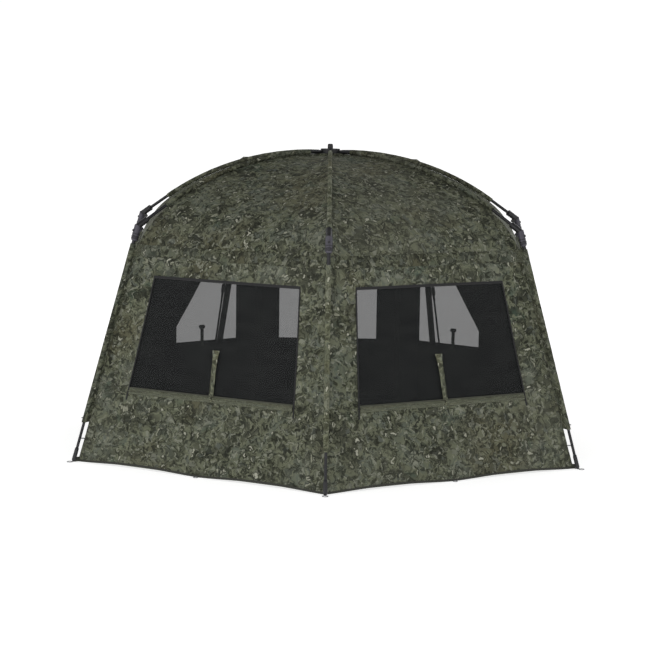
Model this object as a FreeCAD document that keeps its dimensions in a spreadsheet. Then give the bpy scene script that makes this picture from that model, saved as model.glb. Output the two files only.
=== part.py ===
import os

import FreeCAD
import Part
import Sketcher

# Pop-up shelter on five folding ribs. The hub axis is vertical, and the origin lies on the ground
# under the middle of the shelter. The rear rib points along -Y and the door faces +Y. Millimetres.

Vector = FreeCAD.Vector

DIMENSIONS = {
    # how far a cutting solid runs past what it cuts
    "over": 1,
    # directions of the five ribs and of the two prow edges, in degrees from +X
    "bearing_rear": -90,
    "bearing_left": -150,
    "bearing_right": -30,
    "bearing_front_left": 158,
    "bearing_front_right": 22,
    "bearing_prow_left": 117.5,
    "bearing_prow_right": 62.5,
    "hub_forward": 121.7,
    # hub
    "hub_radius": 50,
    "hub_bottom": 1490,
    "hub_thick": 36,
    "hub_slot": 11,
    "hub_slot_start": 28,
    "cap_radius": 14,
    "cap_tall": 26,
    "cap_dome": 6,
    "cap_shoulder": 4.8,
    "pivot_reach": 40,
    "pivot_height": 1510,
    "pivot_pin_radius": 3,
    "pivot_pin_long": 26,
    "pin_clearance": 0.05,
    # roof pole: root lug and ferrule, one arc, and a straight tail that enters the elbow socket
    "lug_thick": 10,
    "lug_radius": 8,
    "ferrule_start": 64,
    "ferrule_end": 117,
    "ferrule_radius": 10,
    "rib_radius": 8,
    "rib_start": 71,
    "rib_arc_radius": 1574,
    "rib_bend": 33.46,
    "rib_tail": 178.7,
    "rib_tail_gap": 12,
    # elbow: socket on the roof pole, barrel on the leg, pivot at the inner corner
    "leg_lean": 16.6,
    "elbow_pivot": 24,
    "eye_radius": 6.4,
    "eye_thick": 12,
    "cheek_gap": 0.3,
    "cheek_thick": 5,
    "elbow_pin_radius": 2.5,
    "elbow_pin_long": 26,
    "mitre_gap": 0.4,
    "socket_radius": 15,
    "socket_long": 60,
    "socket_bore_end": 10,
    "bore_clearance": 0.05,
    "barrel_radius": 17,
    "barrel_long": 74,
    "barrel_nose": 8,
    "barrel_nose_radius": 13,
    "tongue_drop": 14,
    "button_depth": 25,
    "button_radius": 5.85,
    "button_inner": 6,
    "button_outer": 22,
    "button_travel": 3,
    "button_gap": 0.5,
    "button_bevel": 1.5,
    # leg: outer tube, and the inner tube that telescopes and carries the foot and a peg ring
    "leg_top": 45,
    "leg_radius": 9,
    "leg_bore": 7,
    "leg_bottom": 640,
    "slider_radius": 6.95,
    "slider_bore": 5.5,
    "slider_top": 560,
    "foot_radius": 9,
    "foot_cap": 25,
    "foot_ring": 13,
    "foot_ring_wire": 1.75,
    "foot_tab_wide": 6,
    "foot_tab_long": 8,
    "foot_tab_up": 1,
    # fabric: outer face in each rib's plane, and its thickness
    "skin": 3.5,
    "apex_reach": 4,
    "apex_height": 1485,
    "crown_reach": 52,
    "crown_height": 1487,
    "collar_reach": 84,
    "skin_gap": 13,
    "corner_reach": 985,
    "corner_height": 1194.5,
    "heel_reach": 1050,
    "heel_height": 1116.5,
    "seam_reach": 1095,
    "seam_height": 1040,
    "hem_reach": 1405,
    "prow_reach": 1064,
    "prow_height": 1441,
    "prow_hem_reach": 1145,
    # rear mesh windows, in the panel's middle plane
    "window_top": 908,
    "window_bottom": 378,
    "window_half_top": 415,
    "window_half_bottom": 470,
    "mesh_thick": 1,
    "mesh_inset": 2,
    "mesh_clearance": 1,
    "strap_wide": 26,
    "strap_bottom": 352,
    "strap_top": 590,
    "strap_thick": 2,
    "strap_stand": 1,
    # front: door opening, door window and the two wing windows
    "door_half": 400,
    "door_bottom": 60,
    "door_top": 1380,
    "door_gap": 3,
    "pane_half": 286,
    "pane_bottom": 400,
    "pane_top": 1240,
    "wing_pane_inner": 520,
    "wing_pane_top_outer": 610,
    "wing_pane_outer": 845,
    "wing_pane_bottom": 395,
    "wing_pane_shoulder": 450,
    "wing_pane_top": 960,
    # ground
    "floor_inset": 9,
    "floor_thick": 2,
    "peg_ring": 10,
    "peg_ring_wire": 1.75,
    "peg_ring_stand": 14,
    # storm poles, from the prow corners to the ground in front
    "storm_reach": 1084,
    "storm_height": 1424,
    "storm_lean": 12.8,
    "storm_turn": 51.5,
    "storm_upper": 820,
    "storm_radius": 7,
    "storm_bore": 5.5,
    "storm_plug": 20,
    "storm_lower_radius": 5.45,
    "storm_overlap": 90,
    "storm_cap_radius": 9,
    "storm_lock_radius": 11,
    "storm_lock_long": 44,
    "storm_lock_up": 30,
    "storm_grip_inset": 6,
    "storm_grip_stand": 4,
    "storm_foot_radius": 7,
}

RIBS = ("rear", "left", "right", "front_left", "front_right")
SIDES = {"left": -1, "right": 1}

doc = FreeCAD.newDocument("shelter")
sheet = doc.addObject("Spreadsheet::Sheet", "dims")
for row, (alias, number) in enumerate(DIMENSIONS.items(), 1):
    sheet.set(f"A{row}", alias)
    sheet.set(f"B{row}", str(number))
    sheet.setAlias(f"B{row}", alias)
doc.recompute()

pieces = []

# The crossing of roof pole and leg, in a rib's plane, and the angle between elbow mitre and square
ELBOW_REACH = (
    "(dims.rib_start + dims.rib_arc_radius * sin(dims.rib_bend) + dims.rib_tail * cos(dims.rib_bend))"
)
ELBOW_HEIGHT = (
    "(dims.pivot_height - dims.rib_arc_radius * (1 - cos(dims.rib_bend))"
    " - dims.rib_tail * sin(dims.rib_bend))"
)
MITRE = "((90 - dims.leg_lean - dims.rib_bend) / 2)"
FOOT_DOWN = f"(({ELBOW_HEIGHT} - dims.foot_radius) / cos(dims.leg_lean))"
ARC_CENTRE = "(dims.pivot_height - dims.rib_arc_radius)"
STORM_DOWN = "((dims.storm_height - dims.storm_foot_radius) / cos(dims.storm_lean))"


def number(formula):
    return float(FreeCAD.Units.Quantity(sheet.evalExpression(formula)).Value)


def place(*steps):
    """One placement formula from steps of (x, y, z, axis, angle), outermost first."""
    return " * ".join(
        f"placement(vector({x}; {y}; {z}); rotation(vector({axis}); {angle}))"
        for x, y, z, axis, angle in steps
    )


def around_hub(bearing):
    return (0, "dims.hub_forward", 0, "0; 0; 1", bearing)


def rib_frame(rib):
    return (around_hub(f"dims.bearing_{rib}"),)


def socket_frame(rib):
    """Origin at the elbow's axis crossing, X along the roof pole outwards."""
    return rib_frame(rib) + ((ELBOW_REACH, 0, ELBOW_HEIGHT, "0; 1; 0", "dims.rib_bend"),)


def leg_frame(rib):
    """Origin at the elbow's axis crossing, Z up along the leg, X outwards."""
    return rib_frame(rib) + ((ELBOW_REACH, 0, ELBOW_HEIGHT, "0; 1; 0", "-dims.leg_lean"),)


def solid(kind, name, *steps, **sizes):
    """A Part primitive with its sizes and placement bound to the sheet."""
    item = doc.addObject("Part::" + kind, name)
    for size, formula in sizes.items():
        item.setExpression(size, str(formula))
    if steps:
        item.setExpression("Placement", place(*steps))
    return item


def along_x(x, y=0, z=0):
    return (x, y, z, "0; 1; 0", 90)


def along_y(x, y, z):
    return (x, y, z, "1; 0; 0", -90)


def at(x, y, z):
    return (x, y, z, "0; 0; 1", 0)


def join(name, items):
    whole = doc.addObject("Part::MultiFuse", name)
    whole.Shapes = items
    return whole


def cut(name, base, tools):
    result = doc.addObject("Part::Cut", name)
    result.Base = base
    result.Tool = tools[0] if len(tools) == 1 else join(name + "_tools", tools)
    return result


def group(name, items):
    """Separate solids kept together as one sub-part."""
    whole = doc.addObject("Part::Compound", name)
    whole.Links = items
    return whole


def finish(item, label, *steps):
    item.Label = label
    if steps:
        item.setExpression("Placement", place(*steps))
    pieces.append(item)
    return item


# ---------------------------------------------------------------- sketches


def new_body(name):
    return doc.addObject("PartDesign::Body", name)


def outline(body, name, plane, points, offset=None):
    """A closed outline of straight lines through points given as formula pairs."""
    sketch = body.newObject("Sketcher::SketchObject", name)
    origin = [item for item in body.Origin.OriginFeatures if item.Role == plane][0]
    sketch.AttachmentSupport = [(origin, "")]
    sketch.MapMode = "FlatFace"
    if offset:
        sketch.setExpression("AttachmentOffset", place(offset))
    corners = [Vector(number(x), number(y), 0) for x, y in points]
    for i, corner in enumerate(corners):
        sketch.addGeometry(Part.LineSegment(corner, corners[(i + 1) % len(corners)]))
    for i in range(len(corners)):
        sketch.addConstraint(Sketcher.Constraint("Coincident", i, 2, (i + 1) % len(corners), 1))
    for i, (x, y) in enumerate(points):
        for way, formula, value, axis in (
            ("DistanceX", x, corners[i].x, -2),
            ("DistanceY", y, corners[i].y, -1),
        ):
            if abs(value) < 1e-9:
                sketch.addConstraint(Sketcher.Constraint("PointOnObject", i, 1, axis))
            else:
                index = sketch.addConstraint(Sketcher.Constraint(way, -1, 1, i, 1, value))
                sketch.setExpression(f"Constraints[{index}]", formula)
    return sketch


def pad(body, sketch, length, backwards=False):
    feature = body.newObject("PartDesign::Pad", sketch.Name + "_pad")
    feature.Profile = sketch
    feature.setExpression("Length", length)
    feature.Reversed = backwards
    return feature


def pocket_through(body, sketch):
    """Cuts through the whole body on both sides of the sketch."""
    doc.recompute()
    before = body.Shape.Volume
    feature = body.newObject("PartDesign::Pocket", sketch.Name + "_pocket")
    feature.Profile = sketch
    feature.Type = "ThroughAll"
    feature.SideType = "Symmetric"
    doc.recompute()
    if body.Shape.Volume > before - 1:
        raise RuntimeError(f"{feature.Name} cuts nothing")
    return feature


def rectangle(x0, x1, y0, y1):
    return [(x0, y0), (x1, y0), (x1, y1), (x0, y1)]


# ---------------------------------------------------------------- hub


def make_hub():
    block = solid(
        "Cylinder",
        "hub_disc",
        at(0, 0, "dims.hub_bottom"),
        Radius="dims.hub_radius",
        Height="dims.hub_thick",
    )
    tools = []
    for rib in RIBS:
        turn = (0, 0, 0, "0; 0; 1", f"dims.bearing_{rib}")
        slot = solid(
            "Box",
            "hub_slot_" + rib,
            turn,
            at("dims.hub_slot_start", "-dims.hub_slot / 2", "dims.hub_bottom - dims.over"),
            Length="dims.hub_radius",
            Width="dims.hub_slot",
            Height="dims.hub_thick + 2 * dims.over",
        )
        bore = solid(
            "Cylinder",
            "hub_bore_" + rib,
            turn,
            along_y("dims.pivot_reach", "-dims.pivot_pin_long / 2", "dims.pivot_height"),
            Radius="dims.pivot_pin_radius",
            Height="dims.pivot_pin_long",
        )
        tools += [slot, bore]
    finish(cut("hub_block_cut", block, tools), "hub_block", around_hub(0))
    make_cap()
    make_pivot_pins()


def make_cap():
    body = new_body("cap_body")
    base = "dims.hub_bottom + dims.hub_thick"
    rim = f"{base} + dims.cap_tall - dims.cap_dome"
    profile = [
        ("0", base),
        ("dims.cap_radius", base),
        ("dims.cap_radius", rim),
        ("dims.cap_radius - dims.cap_dome / 2", f"{rim} + dims.cap_shoulder"),
        ("0", f"{base} + dims.cap_tall"),
    ]
    sketch = outline(body, "cap_profile", "XZ_Plane", profile)
    turned = body.newObject("PartDesign::Revolution", "cap_turned")
    turned.Profile = sketch
    turned.ReferenceAxis = (sketch, ["V_Axis"])
    turned.Angle = 360
    finish(body, "hub_cap", around_hub(0))


def make_pivot_pins():
    pins = [
        solid(
            "Cylinder",
            "pivot_pin_" + rib,
            (0, 0, 0, "0; 0; 1", f"dims.bearing_{rib}"),
            along_y("dims.pivot_reach", "-dims.pivot_pin_long / 2", "dims.pivot_height"),
            Radius="dims.pivot_pin_radius - dims.pin_clearance / 5",
            Height="dims.pivot_pin_long",
        )
        for rib in RIBS
    ]
    finish(group("pivot_pin_group", pins), "hub_pivot_pins", around_hub(0))


# ---------------------------------------------------------------- ribs and legs


def make_roof_pole(rib):
    name = "rib_" + rib
    lug = solid(
        "Box",
        name + "_lug",
        at("dims.pivot_reach", "-dims.lug_thick / 2", "dims.pivot_height - dims.lug_radius"),
        Length="dims.ferrule_start - dims.pivot_reach + 2 * dims.over",
        Width="dims.lug_thick",
        Height="2 * dims.lug_radius",
    )
    eye = solid(
        "Cylinder",
        name + "_eye",
        along_y("dims.pivot_reach", "-dims.lug_thick / 2", "dims.pivot_height"),
        Radius="dims.lug_radius",
        Height="dims.lug_thick",
    )
    ferrule = solid(
        "Cylinder",
        name + "_ferrule",
        along_x("dims.ferrule_start", 0, "dims.pivot_height"),
        Radius="dims.ferrule_radius",
        Height="dims.ferrule_end - dims.ferrule_start",
    )
    # the torus lies in the rib's plane and its sweep starts at the top, going outwards and down
    arc = solid(
        "Torus",
        name + "_arc",
        ("dims.rib_start", 0, ARC_CENTRE, "1; 1; 1", -120),
        Radius1="dims.rib_arc_radius",
        Radius2="dims.rib_radius",
        Angle3="dims.rib_bend",
    )
    tail = solid(
        "Cylinder",
        name + "_tail",
        (ELBOW_REACH, 0, ELBOW_HEIGHT, "0; 1; 0", "dims.rib_bend"),
        along_x("-dims.rib_tail"),
        Radius="dims.rib_radius",
        Height="dims.rib_tail - dims.rib_tail_gap",
    )
    bore = solid(
        "Cylinder",
        name + "_bore",
        along_y("dims.pivot_reach", "-dims.lug_thick", "dims.pivot_height"),
        Radius="dims.pivot_pin_radius + dims.pin_clearance",
        Height="2 * dims.lug_thick",
    )
    whole = join(name + "_whole", [lug, eye, ferrule, arc, tail])
    finish(cut(name + "_pole", whole, [bore]), "roof_pole_" + rib, *rib_frame(rib))


def mitre_block(name, tilt, start):
    """A block that cuts a piece off half a gap short of the elbow's mitre plane."""
    return solid(
        "Box",
        name,
        (0, 0, 0, "0; 1; 0", tilt),
        at(*start),
        Length="2 * dims.socket_long",
        Width="2 * dims.socket_long",
        Height="2 * dims.socket_long",
    )


def make_elbow_socket(rib):
    name = "socket_" + rib
    pivot_x = f"(-dims.elbow_pivot * sin({MITRE}))"
    pivot_z = f"(-dims.elbow_pivot * cos({MITRE}))"
    collar = solid(
        "Cylinder",
        name + "_collar",
        along_x("-dims.socket_long"),
        Radius="dims.socket_radius",
        Height="dims.socket_long + dims.socket_radius",
    )
    inner = "dims.eye_thick / 2 + dims.cheek_gap"
    cheeks, eyes = [], []
    for side, low in (("a", inner), ("b", f"-({inner}) - dims.cheek_thick")):
        cheeks.append(
            solid(
                "Box",
                name + "_cheek_" + side,
                at(f"{pivot_x} - dims.eye_radius", low, pivot_z),
                Length="2 * dims.eye_radius",
                Width="dims.cheek_thick",
                Height=f"-{pivot_z}",
            )
        )
        eyes.append(
            solid(
                "Cylinder",
                name + "_eye_" + side,
                along_y(pivot_x, low, pivot_z),
                Radius="dims.eye_radius",
                Height="dims.cheek_thick",
            )
        )
    beyond = mitre_block(
        name + "_mitre", MITRE, ("-dims.mitre_gap / 2", "-dims.socket_long", "-dims.socket_long")
    )
    trimmed = cut(name + "_trimmed", join(name + "_raw", [collar] + cheeks), [beyond])
    bore = solid(
        "Cylinder",
        name + "_bore",
        along_x("-dims.socket_long - dims.over"),
        Radius="dims.rib_radius + 3 * dims.bore_clearance",
        Height="dims.socket_long - dims.socket_bore_end + dims.over",
    )
    pin_hole = solid(
        "Cylinder",
        name + "_pin_hole",
        along_y(pivot_x, "-dims.elbow_pin_long", pivot_z),
        Radius="dims.elbow_pin_radius + dims.pin_clearance / 5",
        Height="2 * dims.elbow_pin_long",
    )
    pin = solid(
        "Cylinder",
        name + "_pin",
        along_y(pivot_x, "-dims.elbow_pin_long / 2", pivot_z),
        Radius="dims.elbow_pin_radius",
        Height="dims.elbow_pin_long",
    )
    socket = cut(name + "_bored", join(name + "_eyed", [trimmed] + eyes), [bore, pin_hole])
    finish(group(name + "_pair", [socket, pin]), "elbow_socket_" + rib, *socket_frame(rib))


def make_elbow_barrel(rib):
    name = "barrel_" + rib
    pivot_x = f"(-dims.elbow_pivot * cos({MITRE}))"
    pivot_z = f"(-dims.elbow_pivot * sin({MITRE}))"
    shell = solid(
        "Cylinder",
        name + "_shell",
        at(0, 0, "-dims.barrel_long + dims.barrel_nose"),
        Radius="dims.barrel_radius",
        Height="dims.barrel_long + dims.barrel_radius",
    )
    nose = solid(
        "Cone",
        name + "_nose",
        at(0, 0, "-dims.barrel_long"),
        Radius1="dims.barrel_nose_radius",
        Radius2="dims.barrel_radius",
        Height="dims.barrel_nose",
    )
    tongue = solid(
        "Box",
        name + "_tongue",
        at(pivot_x, "-dims.eye_thick / 2", f"{pivot_z} - dims.tongue_drop"),
        Length=f"-{pivot_x}",
        Width="dims.eye_thick",
        Height="2 * dims.tongue_drop",
    )
    beyond = mitre_block(
        name + "_mitre", f"-{MITRE}", ("-dims.socket_long", "-dims.socket_long", "-dims.mitre_gap / 2")
    )
    trimmed = cut(name + "_trimmed", join(name + "_raw", [shell, nose, tongue]), [beyond])
    eye = solid(
        "Cylinder",
        name + "_eye",
        along_y(pivot_x, "-dims.eye_thick / 2", pivot_z),
        Radius="dims.eye_radius",
        Height="dims.eye_thick",
    )
    tube_bore = solid(
        "Cylinder",
        name + "_tube_bore",
        at(0, 0, "-dims.barrel_long - dims.over"),
        Radius="dims.leg_radius + dims.bore_clearance",
        Height="dims.barrel_long - dims.leg_top + dims.over",
    )
    button_bore = solid(
        "Cylinder",
        name + "_button_bore",
        along_x("dims.button_inner - dims.button_travel - dims.button_gap", 0, "-dims.button_depth"),
        Radius="dims.button_radius + dims.bore_clearance",
        Height="dims.barrel_radius",
    )
    pin_hole = solid(
        "Cylinder",
        name + "_pin_hole",
        along_y(pivot_x, "-dims.eye_thick", pivot_z),
        Radius="dims.elbow_pin_radius + dims.pin_clearance",
        Height="2 * dims.eye_thick",
    )
    whole = join(name + "_eyed", [trimmed, eye])
    barrel = cut(name + "_bored", whole, [tube_bore, button_bore, pin_hole])
    finish(barrel, "elbow_barrel_" + rib, *leg_frame(rib))


def make_elbow_button(rib):
    name = "button_" + rib
    stem = solid(
        "Cylinder",
        name + "_stem",
        along_x("dims.button_inner", 0, "-dims.button_depth"),
        Radius="dims.button_radius",
        Height="dims.button_outer - dims.button_inner - dims.button_bevel",
    )
    crown = solid(
        "Cone",
        name + "_crown",
        along_x("dims.button_outer - dims.button_bevel", 0, "-dims.button_depth"),
        Radius1="dims.button_radius",
        Radius2="dims.button_radius - dims.button_bevel",
        Height="dims.button_bevel",
    )
    finish(join(name + "_whole", [stem, crown]), "elbow_button_" + rib, *leg_frame(rib))


def make_leg_tube(rib):
    name = "leg_" + rib
    span = "dims.leg_bottom - dims.leg_top"
    outer = solid(
        "Cylinder", name + "_outer", at(0, 0, "-dims.leg_bottom"), Radius="dims.leg_radius", Height=span
    )
    inner = solid(
        "Cylinder",
        name + "_inner",
        at(0, 0, "-dims.leg_bottom - dims.over"),
        Radius="dims.leg_bore",
        Height=f"{span} + 2 * dims.over",
    )
    finish(cut(name + "_tube", outer, [inner]), "leg_tube_" + rib, *leg_frame(rib))


def make_foot_pole(rib):
    name = "foot_" + rib
    ball_centre = f"-{FOOT_DOWN}"
    tube = solid(
        "Cylinder",
        name + "_tube",
        at(0, 0, ball_centre),
        Radius="dims.slider_radius",
        Height=f"{FOOT_DOWN} - dims.slider_top",
    )
    cap = solid(
        "Cylinder", name + "_cap", at(0, 0, ball_centre), Radius="dims.foot_radius", Height="dims.foot_cap"
    )
    ball = solid("Sphere", name + "_ball", at(0, 0, ball_centre), Radius="dims.foot_radius")
    # the peg ring lies flat on the ground beside the foot
    level = (0, 0, ball_centre, "0; 1; 0", "dims.leg_lean")
    ring = solid(
        "Torus",
        name + "_ring",
        level,
        at("dims.foot_radius + dims.foot_ring", 0, "dims.foot_ring_wire - dims.foot_radius"),
        Radius1="dims.foot_ring",
        Radius2="dims.foot_ring_wire",
    )
    tab = solid(
        "Box",
        name + "_tab",
        level,
        at("dims.foot_radius / 3", "-dims.foot_tab_wide / 2", "dims.foot_tab_up - dims.foot_radius"),
        Length="dims.foot_tab_long",
        Width="dims.foot_tab_wide",
        Height="dims.foot_tab_wide / 2",
    )
    hollow = solid(
        "Cylinder",
        name + "_hollow",
        at(0, 0, f"{ball_centre} + dims.foot_cap"),
        Radius="dims.slider_bore",
        Height=f"{FOOT_DOWN} - dims.slider_top",
    )
    whole = join(name + "_whole", [tube, cap, ball, ring, tab])
    finish(cut(name + "_pole", whole, [hollow]), "foot_pole_" + rib, *leg_frame(rib))


# ---------------------------------------------------------------- fabric

ROOF_TURNS = (6.5, 13, 19.5, 26, 32)


def under_rib(turn):
    """Reach and height of the fabric under the rib's arc, after so many degrees of the arc."""
    offset = "(dims.rib_arc_radius - dims.skin_gap)"
    return (f"dims.rib_start + {offset} * sin({turn})", f"{ARC_CENTRE} + {offset} * cos({turn})")


def rib_profile():
    """Outer points of the roof in a rib's plane, each with the direction of its thickness."""
    flat = [
        ("dims.apex_reach", "dims.apex_height"),
        ("dims.crown_reach", "dims.crown_height"),
        ("dims.collar_reach", f"{ARC_CENTRE} + dims.rib_arc_radius - dims.skin_gap"),
    ]
    flat += [under_rib(turn) for turn in ROOF_TURNS]
    steep = [
        ("dims.corner_reach", "dims.corner_height", 0.7, 0.7),
        ("dims.heel_reach", "dims.heel_height", 0.95, 0.3),
        ("dims.seam_reach", "dims.seam_height", 1, 0),
    ]
    return [point + (0, 1) for point in flat] + steep


def prow_profile():
    """The hood's straight line to the prow corner, split as the rib's profile is."""
    points = []
    for reach, *_ in rib_profile():
        share = f"(({reach} - dims.apex_reach) / (dims.seam_reach - dims.apex_reach))"
        points.append(
            (
                f"dims.apex_reach + (dims.prow_reach - dims.apex_reach) * {share}",
                f"dims.apex_height + (dims.prow_height - dims.apex_height) * {share}",
                0,
                1,
            )
        )
    corner = points[-1][:2] + (1, 1)
    return points[:-1] + [corner]


def rib_wall():
    return [("dims.seam_reach", "dims.seam_height", 1, 0), ("dims.hem_reach", "0", 1, 0)]


def prow_wall():
    return [("dims.prow_reach", "dims.prow_height", 1, 1), ("dims.prow_hem_reach", "0", 1, 0)]


def strip(profile):
    """A closed thin outline: along the outer points and back along the inner ones."""
    outer = [(x, z) for x, z, _, _ in profile]
    inner = [(f"{x} - dims.skin * {dx}", f"{z} - dims.skin * {dz}") for x, z, dx, dz in profile]
    return outer + inner[::-1]


def loft(body, name, sections):
    """Fabric stretched straight between outlines that stand in planes through the hub axis."""
    sketches = [
        outline(body, f"{name}_{i}", "XZ_Plane", strip(profile), (0, 0, 0, "0; 1; 0", bearing))
        for i, (bearing, profile) in enumerate(sections)
    ]
    feature = body.newObject("PartDesign::AdditiveLoft", name)
    feature.Profile = sketches[0]
    feature.Sections = sketches[1:]
    feature.Ruled = True
    return feature


def panel(label, *lofts):
    body = new_body(label + "_body")
    for i, sections in enumerate(lofts):
        loft(body, f"{label}_span_{i}", sections)
    return finish(body, label, around_hub(0))


PANELS = {
    "rear_left": ("dims.bearing_rear", "dims.bearing_left"),
    "rear_right": ("dims.bearing_rear", "dims.bearing_right"),
    "side_left": ("dims.bearing_left", "dims.bearing_front_left - 360"),
    "side_right": ("dims.bearing_right", "dims.bearing_front_right"),
}


def middle(place_name):
    first, second = PANELS[place_name]
    return f"(({first} + {second}) / 2)"


def make_roof():
    for name, (first, second) in PANELS.items():
        panel("roof_" + name, [(first, rib_profile()), (second, rib_profile())])
    spans = [
        [(f"dims.bearing_front_{side}", rib_profile()), (f"dims.bearing_prow_{side}", prow_profile())]
        for side in SIDES
    ]
    prows = [(f"dims.bearing_prow_{side}", prow_profile()) for side in SIDES]
    panel("roof_front", *spans, prows)


def window_outline(shrink="0"):
    """Half widths and heights of a rear window as (tangential, height) pairs."""
    top = ("dims.window_half_top", "dims.window_top")
    low = ("dims.window_half_bottom", "dims.window_bottom")
    return [
        (f"-({low[0]} - {shrink})", f"{low[1]} + {shrink}"),
        (f"{low[0]} - {shrink}", f"{low[1]} + {shrink}"),
        (f"{top[0]} - {shrink}", f"{top[1]} - {shrink}"),
        (f"-({top[0]} - {shrink})", f"{top[1]} - {shrink}"),
    ]


def make_walls():
    for name, (first, second) in PANELS.items():
        body = panel("wall_" + name, [(first, rib_wall()), (second, rib_wall())])
        if name.startswith("rear"):
            square_on = (0, 0, 0, "0; 1; 0", f"{middle(name)} + 90")
            pocket_through(body, outline(body, f"window_{name}", "XZ_Plane", window_outline(), square_on))
    for side, sign in SIDES.items():
        body = panel(
            "front_wing_" + side,
            [(f"dims.bearing_front_{side}", rib_wall()), (f"dims.bearing_prow_{side}", prow_wall())],
        )
        pane = [
            ("dims.wing_pane_inner", "dims.wing_pane_bottom"),
            ("dims.wing_pane_outer", "dims.wing_pane_bottom"),
            ("dims.wing_pane_outer", "dims.wing_pane_shoulder"),
            ("dims.wing_pane_top_outer", "dims.wing_pane_top"),
            ("dims.wing_pane_inner", "dims.wing_pane_top"),
        ]
        pane = [(f"{sign} * {x}", z) for x, z in pane]
        pocket_through(body, outline(body, f"wing_pane_{side}", "XZ_Plane", pane))
    body = panel("door_surround", [(f"dims.bearing_prow_{side}", prow_wall()) for side in SIDES])
    opening = rectangle("-dims.door_half", "dims.door_half", "dims.door_bottom", "dims.door_top")
    pocket_through(body, outline(body, "door_opening", "XZ_Plane", opening))


# Slope of the flat rear walls and of the front wall, from vertical
REAR_TILT = "atan((dims.hem_reach - dims.seam_reach) * cos(30) / dims.seam_height)"
FRONT_HEM = "(dims.prow_hem_reach * sin(dims.bearing_prow_right))"
FRONT_TILT = f"atan(({FRONT_HEM} - dims.prow_reach * sin(dims.bearing_prow_right)) / dims.prow_height)"


def rear_wall_frame(name):
    """Origin on the hem line's middle, Y along the hem, Z up the slope, X outwards."""
    return (
        around_hub(middle(name)),
        ("dims.hem_reach * cos(30)", 0, 0, "0; 1; 0", f"-{REAR_TILT}"),
    )


def front_wall_frame():
    """Origin on the front hem's middle, X along the hem, Z up the slope, Y outwards."""
    return (
        around_hub(0),
        (0, FRONT_HEM, 0, "1; 0; 0", FRONT_TILT),
    )


def up_slope(points, tilt):
    """Heights above the ground turned into lengths up a sloping wall."""
    return [(x, f"({z}) / cos({tilt})") for x, z in points]


def make_rear_windows():
    straps = []
    for name in ("rear_left", "rear_right"):
        body = new_body(f"mesh_{name}_body")
        points = up_slope(window_outline("dims.mesh_clearance"), REAR_TILT)
        behind = (0, 0, "-dims.mesh_inset - dims.mesh_thick / 2", "0; 0; 1", 0)
        pad(body, outline(body, f"mesh_{name}_outline", "YZ_Plane", points, behind), "dims.mesh_thick")
        finish(body, "mesh_" + name, *rear_wall_frame(name))
        straps.append(
            solid(
                "Box",
                "strap_" + name,
                *rear_wall_frame(name)[:2],
                at("dims.strap_stand", "-dims.strap_wide / 2", "dims.strap_bottom"),
                Length="dims.strap_thick",
                Width="dims.strap_wide",
                Height="dims.strap_top - dims.strap_bottom",
            )
        )
    finish(group("strap_group", straps), "window_straps")


def make_door():
    body = new_body("door_body")
    leaf = rectangle(
        "-dims.door_half + dims.door_gap",
        "dims.door_half - dims.door_gap",
        "dims.door_bottom + dims.door_gap",
        "dims.door_top - 2 * dims.door_gap",
    )
    pane = rectangle("-dims.pane_half", "dims.pane_half", "dims.pane_bottom", "dims.pane_top")
    pad(body, outline(body, "door_leaf", "XZ_Plane", leaf), "dims.skin")
    pocket_through(body, outline(body, "door_pane", "XZ_Plane", pane))
    finish(body, "door_panel", *front_wall_frame())
    mesh = new_body("door_mesh_body")
    gap = "dims.mesh_clearance"
    pane = rectangle(
        f"-dims.pane_half + {gap}",
        f"dims.pane_half - {gap}",
        f"dims.pane_bottom + {gap}",
        f"dims.pane_top - {gap}",
    )
    inset = (0, 0, "dims.mesh_thick", "0; 0; 1", 0)
    pad(mesh, outline(mesh, "door_mesh_outline", "XZ_Plane", pane, inset), "dims.mesh_thick")
    finish(mesh, "door_mesh", *front_wall_frame())


def make_groundsheet():
    body = new_body("groundsheet_body")
    corners = [
        ("dims.bearing_rear", "dims.hem_reach"),
        ("dims.bearing_right", "dims.hem_reach"),
        ("dims.bearing_front_right", "dims.hem_reach"),
        ("dims.bearing_prow_right", "dims.prow_hem_reach"),
        ("dims.bearing_prow_left", "dims.prow_hem_reach"),
        ("dims.bearing_front_left", "dims.hem_reach"),
        ("dims.bearing_left", "dims.hem_reach"),
    ]
    points = [
        (f"({reach} - dims.floor_inset) * cos({bearing})", f"({reach} - dims.floor_inset) * sin({bearing})")
        for bearing, reach in corners
    ]
    pad(body, outline(body, "groundsheet_outline", "XY_Plane", points), "dims.floor_thick")
    finish(body, "groundsheet", around_hub(0))


def make_peg_rings():
    rings = []
    for name in PANELS:
        first, second = PANELS[name]
        reach = f"dims.hem_reach * cos(({first} - ({second})) / 2) + dims.peg_ring_stand"
        rings.append(
            solid(
                "Torus",
                "peg_ring_" + name,
                around_hub(middle(name)),
                at(reach, 0, "dims.peg_ring_wire"),
                Radius1="dims.peg_ring",
                Radius2="dims.peg_ring_wire",
            )
        )
    finish(group("peg_ring_group", rings), "hem_peg_rings")


# ---------------------------------------------------------------- storm poles


def storm_frame(side):
    """Origin at the pole's top, Z up along the pole."""
    sign = SIDES[side]
    turn = "dims.storm_turn" if sign > 0 else "(180 - dims.storm_turn)"
    bearing = f"dims.bearing_prow_{side}"
    return (
        (
            f"dims.storm_reach * cos({bearing})",
            f"dims.hub_forward + dims.storm_reach * sin({bearing})",
            "dims.storm_height",
            "0; 0; 1",
            turn,
        ),
        (0, 0, 0, "0; 1; 0", "-dims.storm_lean"),
    )


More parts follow.
